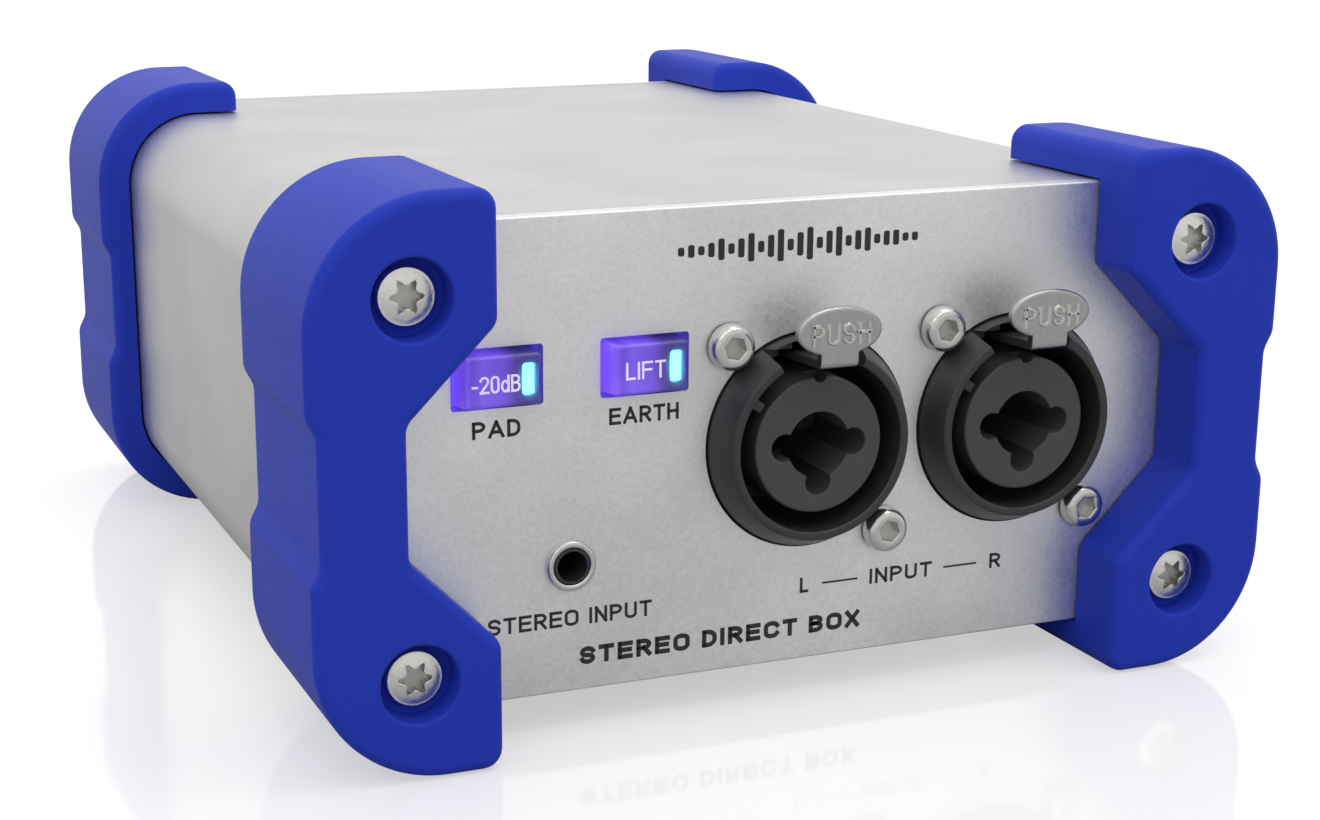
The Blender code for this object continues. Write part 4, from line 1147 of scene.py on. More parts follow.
# ---------------------------------------------------------------- sockets
@dataclass
class RoundSocket:
    """Moulded shell of a round panel socket: bezel, flange, body and its two screws."""

    layout: Layout
    end: End
    side: str
    face: float = 3.7 * MM
    slot_radius: float = 10.0 * MM
    slot_depth: float = 12.0 * MM
    body_depth: float = 30.0 * MM
    bezel_front: float = 11.1 * MM
    bezel_radius: float = 12.4 * MM
    rim_round: float = 0.35 * MM
    flange_half: float = 13.1 * MM
    flange_thick: float = 1.6 * MM
    panel_back: float = 2.3 * MM
    body_half: float = 11.9 * MM
    body_top: float = 13.5 * MM
    screw_radius: float = 2.65 * MM
    screw_height: float = 1.7 * MM
    screw_shank: float = 1.2 * MM
    screw_land: float = 1.75 * MM
    screw_round: float = 1.15 * MM
    hexagon: float = 1.32 * MM
    hexagon_turn: float = 18.0
    gap: float = 0.3 * MM

    @property
    def family(self) -> str:
        """Word that the frame's names begin with."""
        return "input" if self.end is End.FRONT else "output"

    def spot(self) -> Point:
        """(X, height) of the socket's axis."""
        return self.layout.socket_axis(f"{self.family}_{self.side}")

    def seat(self) -> Matrix:
        """Seat of the socket's axis."""
        return self.layout.seat(self.end, *self.spot())

    def shell(self) -> Shape:
        """Shapes a bezel with a rounded rim, joined to its flange and body and bored out.

        Returns:
            The shell.
        """
        radius = self.rim_round
        seat = -self.panel_back - 0.7 * self.flange_thick
        profile = [(0.0, self.face)]
        profile += bend((self.bezel_front - radius, self.face - radius), radius, 90.0, 20.0, 4)
        profile += [(self.bezel_radius, 0.5 * MM), (self.bezel_radius, seat), (0.0, seat)]
        shape = turned(profile, 120)
        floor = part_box("main_board")[1].z - self.layout.middle_z - self.spot()[1] + self.gap
        back = -self.panel_back
        flange = block(
            (-self.flange_half, floor + self.gap, back - self.flange_thick),
            (self.flange_half, self.body_top + self.flange_thick, back),
        )
        body = block(
            (-self.body_half, floor, -self.body_depth),
            (self.body_half, self.body_top, back - 0.4 * self.flange_thick),
        )
        for part, width in ((flange, 0.2 * MM), (body, 0.5 * MM)):
            round_edges(part, part.edges[:], width, 2)
        shape = combine(shape, [flange, body], "UNION")
        lip = 0.3 * MM
        mouth = bend((self.slot_radius + lip, self.face - lip), lip, 90.0, 180.0, 4)
        cup = [(0.0, self.face + MM), (self.slot_radius + lip, self.face + MM), *mouth]
        cup += [(self.slot_radius, -self.slot_depth), (0.0, -self.slot_depth)]
        through = back - self.flange_thick - 2.0 * MM
        bores = [rod(self.screw_shank + self.gap, through, MM, at, 24) for at in self.screw_spots()]
        return combine(shape, [turned(cup, 120), *bores])

    def screw_spots(self) -> list[Point]:
        """Finds the two screws.

        Returns:
            Their places from the socket's axis, in the panel's own frame.
        """
        x, up = self.spot()
        places = []
        for level in ("upper", "lower"):
            sx, sy = self.layout.axis(f"{self.family}_{self.side}_screw_{level}")
            places.append(((sx - x) * self.end.side_sign, sy - up))
        return places

    def build_screws(self) -> None:
        """Builds button-headed screws with a flat land round their hexagon."""
        top, shank, land = self.screw_height + self.gap, self.screw_shank, self.screw_land
        fall, chamfer, steps = self.screw_round, 0.4 * MM, 8
        for level in ("upper", "lower"):
            name = f"{self.family}_{self.side}_screw_{level}"
            profile = [(0.0, top), (land, top)]
            for angle in [math.radians(90.0 * step / steps) for step in range(1, steps + 1)]:
                across = land + (self.screw_radius - land) * math.sin(angle)
                profile.append((across, top - fall * (1 - math.cos(angle))))
            low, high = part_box(name)
            tip = self.layout.front_y - high.y if self.end is End.FRONT else low.y - self.layout.rear_y
            profile += [
                (self.screw_radius, self.gap), (shank, self.gap), (shank, tip + chamfer),
                (shank - chamfer, tip), (0.0, tip),
            ]
            screw = turned(profile, 48)
            hexagon = rod(self.hexagon, top - self.screw_round, top + MM, segments=6)
            turn = Matrix.Rotation(math.radians(self.hexagon_turn), 3, "Z")
            bmesh.ops.rotate(hexagon, verts=hexagon.verts, cent=(0.0, 0.0, 0.0), matrix=turn)
            screw = combine(screw, [hexagon])
            # The hexagon recess takes a darker grey: painted shade.
            mark_recess_shade(screw, self.hexagon, top - 1.3 * MM, top - 0.3 * MM)
            rim = [
                e for e in sharp_edges(screw, math.radians(50.0))
                if min(v.co.z for v in e.verts) > top - 0.1 * MM and e.verts[0].co.xy.length < 1.5 * MM
            ]
            round_edges(screw, rim, 0.14 * MM, 3)
            add_piece(
                f"{self.family}_{self.side}_button_screw_{level}", screw,
                self.layout.seat(self.end, *self.layout.axis(name)), NICKEL, stands_for=[name],
                inner=RECESS_SHADE,
            )


@dataclass
class ComboInput(RoundSocket):
    """Combined round socket: shell, insert with its cloverleaf of holes, and release lever."""

    notch_half: float = 29.0
    notch_depth: float = 2.4 * MM
    ledge: float = 11.0 * MM
    insert_radius: float = 7.9 * MM
    insert_face: float = 2.9 * MM
    jack_radius: float = 3.8 * MM
    pin_radius: float = 1.55 * MM
    pin_circle: float = 4.3 * MM
    pin_depth: float = 12.5 * MM
    lever_thick: float = 1.0 * MM
    tab_half_width: float = 5.2 * MM
    tab_half_height: float = 2.8 * MM
    tab_up: float = 13.8 * MM
    tab_out: float = 6.4 * MM
    neck_half: float = 2.45 * MM
    arm_up: float = 9.1 * MM
    pivot_depth: float = 8.5 * MM
    eye_radius: float = 1.15 * MM
    hinge_radius: float = 0.8 * MM
    lug_angle: float = 56.0
    neck_rise: float = 0.6 * MM
    lift: float = 1.6 * MM

    def build(self) -> None:
        """Builds the shell, insert, lever and screws."""
        self.build_shell()
        self.build_insert()
        self.build_lever()
        self.build_screws()

    def build_shell(self) -> None:
        """Builds the shell with the notch, the lever's channel, the rear bore and a key lug."""
        notch_floor = self.face - self.notch_depth
        notch = thicken(self.wedge(self.bezel_radius + MM), notch_floor, self.face + MM)
        well = thicken(self.wedge(self.ledge), -2.0 * MM, notch_floor + 0.2 * MM)
        side = self.neck_half + 0.4 * MM
        low = self.arm_up + self.lever_thick / 2 - self.eye_radius - self.gap
        top = self.arm_up + self.lever_thick + self.lift
        end = -self.pivot_depth - self.eye_radius - 0.6 * MM
        channel = block((-side, low, end), (side, top, self.face + MM))
        bore = rod(self.jack_radius, -self.body_depth - MM, 0.0)
        pin = self.cross_rod(self.hinge_radius, side + 1.8 * MM)
        shape = combine(self.shell(), [notch, well, channel, bore, pin])
        lug = block(
            (-0.6 * MM, self.slot_radius - 1.7 * MM, -self.slot_depth),
            (0.6 * MM, self.slot_radius + 0.4 * MM, self.face - 1.1 * MM),
        )
        round_edges(lug, lug.edges[:], 0.2 * MM, 2)
        turn = Matrix.Rotation(math.radians(self.lug_angle), 3, "Z")
        bmesh.ops.rotate(lug, verts=lug.verts, cent=(0.0, 0.0, 0.0), matrix=turn)
        shape = combine(shape, [lug], "UNION")
        add_piece(
            f"input_{self.side}_bezel", shape, self.seat(), SOCKET_AND_SHADE,
            stands_for=[f"input_shell_{self.side}"],
        )

    def wedge(self, reach: float) -> Shape:
        """Draws the notch's outline, from the insert's rim up to a height.

        Args:
            reach: the height.

        Returns:
            The face.
        """
        half = math.radians(self.notch_half)
        inner = self.insert_radius + MM
        x, y = inner * math.sin(half), inner * math.cos(half)
        return outline([(-x, y), (-reach * math.tan(half), reach), (reach * math.tan(half), reach), (x, y)])

    def cross_rod(self, radius: float, half_length: float, segments: int = 24) -> Shape:
        """Shapes a round bar along the lever's hinge.

        Args:
            radius: its radius.
            half_length: half its length.
            segments: its sides.

        Returns:
            The bar.
        """
        shape = bmesh.new()
        place = Matrix.Translation((0.0, self.arm_up + self.lever_thick / 2, -self.pivot_depth))
        turn = Matrix.Rotation(math.pi / 2, 4, "Y")
        bmesh.ops.create_cone(
            shape, cap_ends=True, segments=segments, radius1=radius, radius2=radius,
            depth=2 * half_length, matrix=place @ turn,
        )
        return shape

    def build_insert(self) -> None:
        """Builds the insert: a keyed rim, and the jack's hole run together with the pins' holes."""
        edge = 0.3 * MM
        back = -self.slot_depth + self.gap
        profile = [(0.0, self.insert_face)]
        profile += bend((self.insert_radius - edge, self.insert_face - edge), edge, 90.0, 0.0, 4)
        profile += [(self.insert_radius, back), (0.0, back)]
        shape = turned(profile, 120)
        front = self.insert_face + MM
        clover = rod(self.jack_radius, back - MM, front, segments=64)
        pins = []
        for angle in (180.0, 0.0, 270.0):
            turn = math.radians(angle)
            at = (self.pin_circle * math.cos(turn), self.pin_circle * math.sin(turn))
            pins.append(rod(self.pin_radius, self.insert_face - self.pin_depth, front, at, 40))
        key = rod(0.85 * MM, self.insert_face - 3.0 * MM, front, (0.0, self.insert_radius + 0.15 * MM), 24)
        shape = combine(shape, [combine(clover, pins, "UNION"), key])
        mouths = [
            e for e in sharp_edges(shape, math.radians(60.0))
            if all(abs(v.co.z - self.insert_face) < 1e-6 for v in e.verts)
        ]
        round_edges(shape, mouths, 0.15 * MM, 2)
        add_piece(
            f"input_{self.side}_core", shape, self.seat(), INSERT,
            stands_for=[f"input_insert_{self.side}"],
        )

    def build_lever(self) -> None:
        """Builds the lever: oval tab, a neck that turns into the arm, painted black as shade in the notch,
        and its eye.
        """
        front = self.tab_out + self.lever_thick
        tab = disc(1.0, 72)
        oval = Matrix.Diagonal((self.tab_half_width, self.tab_half_height, 1.0, 1.0))
        bmesh.ops.transform(tab, matrix=Matrix.Translation((0.0, self.tab_up, 0.0)) @ oval, verts=tab.verts)
        tab = thicken(tab, self.tab_out, front)
        round_edges(tab, sharp_edges(tab, math.radians(60.0)), 0.42 * MM, 4)
        arm = self.arm_up
        strip = outline([
            (front, self.tab_up - 1.5 * MM), (self.tab_out, self.tab_up - 1.5 * MM),
            (self.tab_out, arm + self.lever_thick + self.neck_rise),
            (-self.pivot_depth, arm + self.lever_thick),
            (-self.pivot_depth, arm), (front, arm + self.neck_rise),
        ])
        round_corner(strip, (front, arm + self.neck_rise), 0.7 * MM, 6)
        round_corner(strip, (self.tab_out, arm + self.lever_thick + self.neck_rise), 0.35 * MM, 3)
        half = self.neck_half - 0.15 * MM
        strip = thicken(strip, -half, half)
        round_edges(strip, sharp_edges(strip, math.radians(60.0)), 0.12 * MM, 2)
        swap = Matrix(((0, 0, 1, 0), (0, 1, 0, 0), (1, 0, 0, 0), (0, 0, 0, 1)))
        bmesh.ops.transform(strip, matrix=swap, verts=strip.verts)
        turn_out(strip)
        eye = self.cross_rod(self.eye_radius, half - 0.15 * MM, 32)
        lever = combine(tab, [strip, eye], "UNION")
        lever = combine(lever, [self.cross_rod(self.hinge_radius, half + MM)])
        # Faces behind the tab take the black finish: painted shade of the notch on the arm.
        for face in lever.faces:
            face.material_index = int(face.calc_center_median().z < self.tab_out - 0.3 * MM)
        body = f"latch_{self.side}"
        # The lever's nickel is a darker grey, painted shade on the tab's face.
        add_piece(
            f"release_lever_{self.side}", lever, self.seat(), SHADED_LEVER, body,
            [f"input_latch_{self.side}"], inner=SOCKET_AND_SHADE,
        )
        box = (-3.6 * MM, 3.7 * MM, self.tab_up - 1.45 * MM, self.tab_up + 1.0 * MM)
        words = lettering("PUSH", box, 0.5 * MM, 0.24 * MM)
        bmesh.ops.translate(words, vec=(0.0, 0.0, front), verts=words.verts)
        add_piece(f"release_legend_{self.side}", words, self.seat(), NICKEL, body)


@dataclass
class PinOutput(RoundSocket):
    """Rear output socket: a plain cup with three standing pins."""

    face: float = 2.4 * MM
    slot_radius: float = 9.6 * MM
    body_depth: float = 22.0 * MM
    pin_circle: float = 4.2 * MM
    pin_radius: float = 1.2 * MM
    pin_sink: float = 1.2 * MM
    pin_tail: float = 4.0 * MM
    key_half: float = 1.1 * MM

    def build(self) -> None:
        """Builds the shell, the pins and the screws."""
        spots = []
        for angle in (180.0, 0.0, 270.0):
            turn = math.radians(angle)
            spots.append((self.pin_circle * math.cos(turn), self.pin_circle * math.sin(turn)))
        tail = -self.body_depth - self.pin_tail
        holes = [rod(self.pin_radius + self.gap, tail, 0.0, spot, 24) for spot in spots]
        key = block(
            (-self.key_half, self.slot_radius - 0.6 * MM, -self.slot_depth + MM),
            (self.key_half, self.slot_radius + 0.9 * MM, self.face + MM),
        )
        shape = combine(self.shell(), [*holes, key])
        add_piece(
            f"output_{self.side}_bezel", shape, self.seat(), SOCKET_AND_SHADE,
            stands_for=[f"output_shell_{self.side}"],
        )
        for number in (1, 2, 3):
            self.build_pin(number, tail)
        self.build_screws()

    def build_pin(self, number: int, tail: float) -> None:
        """Builds one round-nosed contact.

        Args:
            number: its number.
            tail: depth of its rear end.
        """
        name = f"output_pin_{self.side}_{number}"
        tip = self.face - self.pin_sink
        nose = bend((0.0, tip - self.pin_radius), self.pin_radius, 90.0, 0.0, 8)
        pin = turned([*nose, (self.pin_radius, tail), (0.0, tail)], 32)
        seat = self.layout.seat(self.end, *self.layout.axis(name))
        add_piece(f"contact_{self.side}_{number}", pin, seat, GOLD, stands_for=[name])


# ---------------------------------------------------------------- buttons
@dataclass
class PushButton:
    """Lit cap with a dished face, its lamp and the word printed on it."""

    layout: Layout
    name: str
    word: str
    word_box: tuple[float, float, float, float]
    half_width: float = 5.0 * MM
    half_height: float = 3.1 * MM
    face: float = 2.2 * MM
    back: float = 3.5 * MM
    draft: float = 0.4 * MM
    dish: float = 0.5 * MM
    lip: float = 0.7 * MM
    lip_front: float = 2.3 * MM
    stem_half: float = 1.5 * MM
    stem: float = 5.5 * MM
    lamp_x: float = 3.0 * MM
    lamp_half_width: float = 0.68 * MM
    lamp_half_height: float = 1.7 * MM
    lamp_clear: float = 0.12 * MM
    slices: int = 16

    def sink(self, shape: Shape, start: float, waist: float = 0.075) -> None:
        """Hollows the face and narrows the waist of whatever stands in front of a depth.

        Args:
            shape: the mesh.
            start: the depth.
            waist: share of the width that is lost halfway up.
        """
        for vertex in shape.verts:
            share = min(max((vertex.co.z - start) / (self.face - start), 0.0), 1.0)
            hollow = 1.0 - min(abs(vertex.co.y) / self.half_height, 1.0) ** 2
            vertex.co.z -= share * hollow * self.dish
            vertex.co.x *= 1.0 - share * hollow * waist

    def build(self) -> None:
        """Builds the cap, the lamp and the word."""
        seat = self.layout.seat(End.FRONT, *self.layout.axis(f"{self.name}_switch"))
        body = f"{self.name}_button"
        # The cap's finish paints its light: bright walls, painted shade before the lamp and a painted glow
        # round it.
        glow = GlowingCap(
            f"tinted_painted_glow_{self.name}_cap", "5A3FC0", 0.22, grain=0.8, relief=0.002, tone=0.04,
            middle=tuple(seat.translation), half_width=self.half_width, lamp=self.lamp_x,
        )
        add_piece(f"{self.name}_cap", self.cap(), seat, glow, body, [body], math.radians(50.0))
        back, front = self.face - 2.3 * MM, self.face - 0.05 * MM
        lamp = bar(self.lamp_half_width, self.lamp_half_height, back, front, self.lamp_x)
        round_edges(lamp, lamp.edges[:], 0.3 * MM, 4)
        self.slice_across(lamp)
        self.sink(lamp, self.face - 0.8 * MM, 0.02)
        add_piece(f"{self.name}_lamp", lamp, seat, LIGHT, body, [f"{self.name}_light_bar"])
        words = lettering(self.word, self.word_box, 0.27 * MM, 0.03 * MM)
        bmesh.ops.translate(words, vec=(0.0, 0.0, self.face), verts=words.verts)
        self.sink(words, self.face - 1.2 * MM, 0.0)
        add_piece(f"{self.name}_cap_word", words, seat, WHITE_INK, body)

    def slice_across(self, shape: Shape) -> None:
        """Cuts level lines round a shape, so that its face can be hollowed.

        Args:
            shape: the mesh.
        """
        for step in range(1, self.slices):
            height = self.half_height * (2.0 * step / self.slices - 1.0)
            bmesh.ops.bisect_plane(
                shape, geom=[*shape.verts, *shape.edges, *shape.faces], dist=WELD,
                plane_co=(0.0, height, 0.0), plane_no=(0.0, 1.0, 0.0),
            )

    def cap(self) -> Shape:
        """Shapes a drafted, rounded and dished cap with its lip, stem and lamp pocket.

        Returns:
            The cap.
        """
        shape = bar(self.half_width, self.half_height, -self.back, self.face)
        shrink_x = 1.0 - 1.5 * self.draft / self.half_width
        shrink_y = 1.0 - self.draft / self.half_height
        for vertex in shape.verts:
            if vertex.co.z > 0.0:
                vertex.co.x *= shrink_x
                vertex.co.y *= shrink_y
        round_edges(shape, [e for e in shape.edges if max(v.co.z for v in e.verts) > 0.0], 0.38 * MM, 4)
        self.slice_across(shape)
        self.sink(shape, self.face - 1.2 * MM)
        lip = bar(self.half_width + self.lip, self.half_height + self.lip, -self.back, -self.lip_front)
        stem = bar(self.stem_half, self.stem_half, -self.back - self.stem, -self.back / 2)
        shape = combine(shape, [lip, stem], "UNION")
        wide, high = self.lamp_half_width + self.lamp_clear, self.lamp_half_height + self.lamp_clear
        pocket = bar(wide, high, self.face - 2.6 * MM, self.face + MM, self.lamp_x)
        upright = [e for e in pocket.edges if abs(e.verts[0].co.z - e.verts[1].co.z) > MM]
        round_edges(pocket, upright, 0.35 * MM, 4)
        return combine(shape, [pocket])


# ---------------------------------------------------------------- jacks
@dataclass
class SmallJack:
    """Small stereo jack: a bushing in a smooth ring nut, with its housing behind the panel."""

    layout: Layout
    hole: float = 1.75 * MM
    barrel: float = 2.1 * MM
    barrel_back: float = -3.3 * MM
    housing_front: float = -2.3 * MM
    nut_radius: float = 2.9 * MM
    nut_out: float = 0.75 * MM
    nut_clear: float = 0.02 * MM

    def build(self) -> None:
        """Builds the jack and its nut."""
        seat = self.layout.seat(End.FRONT, *self.layout.axis("mini_jack_nut"))
        low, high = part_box("mini_jack")
        depth = high.y - self.layout.front_y
        front = self.nut_out - 0.1 * MM
        jack = rod(self.barrel, self.barrel_back, front, segments=64)
        round_edges(jack, [e for e in sharp_edges(jack, 1.0) if e.verts[0].co.z > 0.0], 0.12 * MM, 2)
        housing = bar((high.x - low.x) / 2, (high.z - low.z) / 2, -depth, self.housing_front)
        round_edges(housing, housing.edges[:], 0.2 * MM, 2)
        jack = combine(jack, [housing], "UNION")
        jack = combine(jack, [rod(self.hole, -depth - MM, front + MM, segments=48)])
        add_piece("small_jack_bushing", jack, seat, SOCKET_AND_SHADE, stands_for=["mini_jack"])
        clear, inner = self.nut_clear, self.barrel + self.nut_clear
        outer_round, inner_round = 0.4 * MM, 0.3 * MM
        crown = bend((self.nut_radius - outer_round, self.nut_out - outer_round), outer_round, 0.0, 90.0, 6)
        crown += bend((inner + inner_round, self.nut_out - inner_round), inner_round, 90.0, 180.0, 5)
        ring = turned([(self.nut_radius, clear), *crown, (inner, clear)], 72, ring=True)
        add_piece("small_jack_ring", ring, seat, NICKEL, stands_for=["mini_jack_nut"])


@dataclass
class LinkJack:
    """Rear full-size jack with a threaded bushing and a hexagon nut."""

    layout: Layout
    side: str
    hole: float = 3.3 * MM
    barrel: float = 4.6 * MM
    barrel_out: float = 3.6 * MM
    nut_radius: float = 6.6 * MM
    nut_thick: float = 2.2 * MM
    gap: float = 0.3 * MM
    thread: float = 0.6 * MM
    thread_depth: float = 0.18 * MM
    mouth: float = 0.3 * MM
    barrel_back: float = -3.3 * MM
    housing_front: float = -2.3 * MM

    def build(self) -> None:
        """Builds the jack and its nut."""
        nut_node = f"link_nut_{self.side}"
        x, up = self.layout.axis(nut_node)
        seat = self.layout.seat(End.REAR, x, up)
        low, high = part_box(f"link_jack_{self.side}")
        depth = self.layout.rear_y - low.y
        half = (high.x - low.x) / 2
        floor = low.z - self.layout.middle_z - up
        top = high.z - self.layout.middle_z - up
        jack = turned(self.threaded(), 64)
        housing = block((-half, floor, -depth), (half, top, self.housing_front))
        round_edges(housing, housing.edges[:], 0.3 * MM, 2)
        jack = combine(jack, [housing], "UNION")
        jack = combine(jack, [rod(self.hole, -depth - MM, self.barrel_out + MM, segments=64)])
        add_piece(
            f"link_bushing_{self.side}", jack, seat, SOCKET_AND_SHADE,
            stands_for=[f"link_jack_{self.side}"],
        )
        loops = [disc(self.nut_radius, 6), disc(self.barrel + self.gap, 64)]
        nut = plate_with_holes(loops, self.gap, self.gap + self.nut_thick)
        outer = [
            e for e in sharp_edges(nut, math.radians(40.0))
            if min(v.co.xy.length for v in e.verts) > self.barrel + MM
        ]
        round_edges(nut, outer, 0.2 * MM, 3)
        add_piece(f"link_hexagon_{self.side}", nut, seat, NICKEL, stands_for=[nut_node])

    def threaded(self) -> list[Point]:
        """Draws the bushing's profile, with a rounded mouth and shallow thread rings.

        Returns:
            Its points.
        """
        front, mouth = self.barrel_out, self.mouth
        profile = [(0.0, front), *bend((self.barrel - mouth, front - mouth), mouth, 90.0, 0.0, 4)]
        depth = front - 0.4 * MM
        while depth - self.thread > 0.0:
            profile += [(self.barrel, depth), (self.barrel - self.thread_depth, depth - self.thread / 2)]
            depth -= self.thread
        return profile + [(self.barrel, depth), (self.barrel, self.barrel_back), (0.0, self.barrel_back)]


# ---------------------------------------------------------------- legends
@dataclass
class Legends:
    """Words, rules and a row of bars printed on the panels."""

    layout: Layout
    thick: float = 0.03 * MM
    lift: float = 0.004 * MM
    rule_half: float = 0.11 * MM
    bar_count: int = 25
    bar_area: tuple[float, float, float, float] = (-15.3, 14.8, 20.0, 23.9)

    def build(self) -> None:
        """Prints both panels."""
        fine, medium, bold = 0.36, 0.38, 0.56
        words = [
            ("pad", "PAD", (-38.9, -33.4, 3.2, 5.15), medium),
            ("earth", "EARTH", (-23.1, -14.8, 3.35, 5.25), fine),
            ("stereo_input", "STEREO INPUT", (-37.4, -17.9, -19.2, -17.3), fine),
            ("left", "L", (0.7, 1.8, -18.9, -17.05), fine),
            ("input", "INPUT", (9.8, 18.1, -18.9, -17.05), fine),
            ("right", "R", (26.0, 27.5, -18.9, -17.05), fine),
            ("kind", "STEREO DIRECT BOX", (-26.6, 8.6, -23.95, -21.85), bold),
        ]
        for name, text, box, stroke in words:
            self.print_word(End.FRONT, name, text, box, stroke)
        self.print_rule(End.FRONT, "left", 3.6, 8.2, -18.0)
        self.print_rule(End.FRONT, "right", 19.7, 24.2, -18.0)
        self.print_bars()
        rear = [
            ("output_left", "OUTPUT L", (9.2, 19.2, -19.0, -17.2), fine),
            ("output_right", "OUTPUT R", (-19.2, -9.2, -19.0, -17.2), fine),
            ("link_left", "LINK L", (32.9, 39.1, -12.6, -10.9), fine),
            ("link_right", "LINK R", (-39.1, -32.9, -12.6, -10.9), fine),
        ]
        for name, text, box, stroke in rear:
            self.print_word(End.REAR, name, text, box, stroke)

    def print_word(self, end: End, name: str, text: str, box: Sequence[float], stroke: float) -> None:
        """Prints one word in a box given in millimetres from the panel's middle."""
        shape = lettering(text, [value * MM for value in box], stroke * MM, self.thick)
        self.lay(end, f"{end.value}_legend_{name}", shape)

    def lay(self, end: End, name: str, shape: Shape) -> None:
        """Lays a printed shape on a panel."""
        bmesh.ops.translate(shape, vec=(0.0, 0.0, self.lift), verts=shape.verts)
        add_piece(name, shape, self.layout.seat(end), INK)

    def print_rule(self, end: End, name: str, left: float, right: float, up: float) -> None:
        """Prints a level line.

        Args:
            end: the panel.
            name: the line's name.
            left: its left end, in millimetres from the panel's middle.
            right: its right end.
            up: its height.
        """
        shape = rounded_outline((right - left) / 2 * MM, self.rule_half, 0.05 * MM, 3)
        bmesh.ops.translate(shape, vec=((left + right) / 2 * MM, up * MM, 0.0), verts=shape.verts)
        self.lay(end, f"{end.value}_rule_{name}", thicken(shape, 0.0, self.thick))

    def print_bars(self) -> None:
        """Prints a plain row of upright bars, like a sound level."""
        count = self.bar_count
        left, right, low, high = self.bar_area
        pitch = (right - left) / count
        joined = bmesh.new()
        for index in range(count):
            swell = math.sin(math.pi * (index + 0.5) / count)
            beat = 0.55 + 0.45 * math.sin(index * 2.1)
            tall = (high - low) * (0.22 + 0.78 * swell * beat)
            mark = rounded_outline(0.31 * pitch * MM, tall / 2 * MM, 0.2 * pitch * MM, 4)
            x = left + (index + 0.5) * pitch
            bmesh.ops.translate(mark, vec=(x * MM, (low + high) / 2 * MM, 0.0), verts=mark.verts)
            carry(thicken(mark, 0.0, self.thick), joined)
        self.lay(End.FRONT, "front_level_bars", joined)


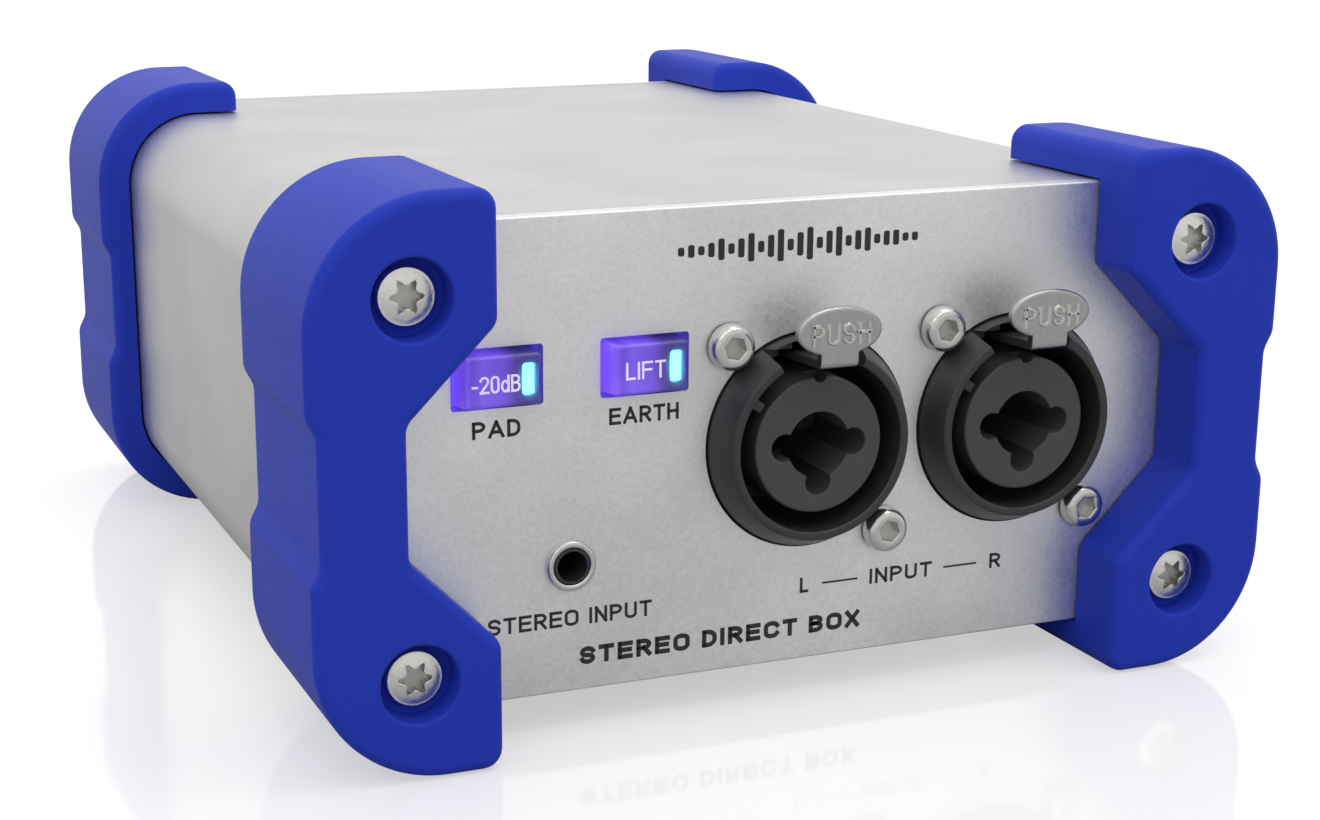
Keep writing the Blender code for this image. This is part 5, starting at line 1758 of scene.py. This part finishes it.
# ---------------------------------------------------------------- stage
@dataclass
class Studio:
    """Floor, lights and camera."""

    azimuth: float = -22.03
    elevation: float = 15.05
    roll: float = 0.045
    location: tuple[float, float, float] = (-0.11358, -0.28527, 0.09559)
    lens: float = 61.75
    shift: tuple[float, float] = (0.04254, 0.03606)
    floor_half: float = 4.0
    floor_drop: float = 0.1 * MM
    floor_lift: float = 0.53

    def build(self) -> None:
        """Builds the stage."""
        self.build_camera()
        self.build_floor()
        self.build_sky()
        self.build_lights()

    def build_camera(self) -> None:
        """Camera at the object's three-quarter view."""
        a, e = math.radians(self.azimuth), math.radians(self.elevation)
        back = Vector((math.sin(a) * math.cos(e), -math.cos(a) * math.cos(e), math.sin(e)))
        data = bpy.data.cameras.new("studio_camera")
        data.sensor_width = 36.0
        data.lens = self.lens
        data.shift_x, data.shift_y = self.shift
        data.clip_start = 0.01
        camera = bpy.data.objects.new("studio_camera", data)
        turn = (-back).to_track_quat("-Z", "Y").to_matrix().to_4x4()
        roll = Matrix.Rotation(math.radians(self.roll), 4, "Z")
        camera.matrix_world = Matrix.Translation(self.location) @ turn @ roll
        bpy.context.scene.collection.objects.link(camera)
        bpy.context.scene.camera = camera

    def build_floor(self) -> None:
        """Pale floor with a soft reflection, which looks nearly white without lighting the box."""
        shape = bmesh.new()
        bmesh.ops.create_grid(shape, x_segments=1, y_segments=1, size=self.floor_half)
        bmesh.ops.translate(shape, vec=(0.0, 0.0, -self.floor_drop), verts=shape.verts)
        mesh = bpy.data.meshes.new("studio_floor")
        shape.to_mesh(mesh)
        shape.free()
        # White acrylic sheet, cast and polished: it mirrors the box faintly.
        acrylic = Finish(
            "polished_white_acrylic", "B6B6B6", 0.07, grain=40.0, relief=0.0, tone=0.005, rough_swing=0.01,
        )
        sheet = acrylic.material()
        tree = sheet.node_tree
        direct = add_node(tree, "ShaderNodeLightPath").outputs["Is Camera Ray"]
        lift = add_node(tree, "ShaderNodeMath", {0: direct, 1: self.floor_lift}, operation="MULTIPLY")
        shader = tree.nodes["Principled BSDF"]
        shader.inputs["Emission Color"].default_value = (1.0, 1.0, 1.0, 1.0)
        tree.links.new(lift.outputs[0], shader.inputs["Emission Strength"])
        mesh.materials.append(sheet)
        floor = bpy.data.objects.new("studio_floor", mesh)
        bpy.context.scene.collection.objects.link(floor)

    def build_sky(self) -> None:
        """Even pale surround, a little darker at the front, and pure white behind the box."""
        world = bpy.data.worlds.new("studio_surround")
        bpy.context.scene.world = world
        world.use_nodes = True
        tree = world.node_tree
        background = tree.nodes["Background"]
        way = add_node(tree, "ShaderNodeTexCoord").outputs["Generated"]
        split = add_node(tree, "ShaderNodeSeparateXYZ", {"Vector": way})
        glow = add_node(
            tree, "ShaderNodeMapRange",
            {"Value": split.outputs["Y"], "From Min": -0.6, "From Max": 0.8, "To Min": 0.80, "To Max": 0.85},
        )
        path = add_node(tree, "ShaderNodeLightPath")
        strength = add_node(
            tree, "ShaderNodeMapRange",
            {"Value": path.outputs["Is Camera Ray"], "To Min": glow.outputs[0], "To Max": 1.0},
        )
        background.inputs["Color"].default_value = (1.0, 1.0, 1.0, 1.0)
        tree.links.new(strength.outputs[0], background.inputs["Strength"])

    def build_lights(self) -> None:
        """A large soft box and two strips overhead, and a small soft box at the left.

        Each is given its place, what it aims at, its width, its height and its power.
        """
        middle, front = (0.0, 0.0, 0.03), (0.0, -0.06, 0.03)
        lights = [
            ("overhead", (0.05, 0.10, 0.75), middle, 1.2, 0.9, 0.6),
            ("front_strip", (0.10, -0.34, 0.66), front, 0.9, 0.05, 0.6),
            ("top_strip", (0.10, 0.0, 0.75), front, 0.9, 0.05, 0.6),
            ("upper_left", (-0.45, -0.55, 0.55), middle, 0.35, 0.25, 0.25),
        ]
        for name, place, target, wide, high, power in lights:
            data = bpy.data.lights.new(f"{name}_soft_box", "AREA")
            data.shape = "RECTANGLE"
            data.size, data.size_y = wide, high
            data.energy = power
            lamp = bpy.data.objects.new(f"{name}_soft_box", data)
            aim = Vector(target) - Vector(place)
            lamp.matrix_world = Matrix.Translation(place) @ aim.to_track_quat("-Z", "Y").to_matrix().to_4x4()
            bpy.context.scene.collection.objects.link(lamp)


def dress_frame() -> None:
    """Gives the frame's nodes that still show their finishes."""
    slots = {row["node"]: row["material_slot"] for row in frame["record"]["subparts"]}
    for name, node in frame["nodes"].items():
        if node.hide_render:
            continue
        finish = FRAME_FINISHES[slots[name]]
        if not node.material_slots:
            node.data.materials.append(finish.material())
        for holder in node.material_slots:
            holder.material = finish.material()
        LOG.info("%s keeps its mesh and takes %s", name, finish.name)


def main() -> None:
    """Builds the box and its stage."""
    logging.basicConfig(level=logging.INFO, format="%(message)s")
    bpy.context.scene.view_settings.view_transform = "Standard"
    layout = Layout.from_frame()
    Studio().build()
    Case(layout).build()
    Bumpers(layout).build()
    for side in SIDES:
        ComboInput(layout, End.FRONT, side).build()
        PinOutput(layout, End.REAR, side).build()
        LinkJack(layout, side).build()
    PushButton(layout, "pad", "-20dB", (-3.45 * MM, 2.05 * MM, -1.25 * MM, 0.65 * MM)).build()
    PushButton(layout, "lift", "LIFT", (-2.95 * MM, 1.75 * MM, -1.15 * MM, 0.8 * MM)).build()
    SmallJack(layout).build()
    Legends(layout).build()
    dress_frame()


if __name__ == "__main__":
    main()
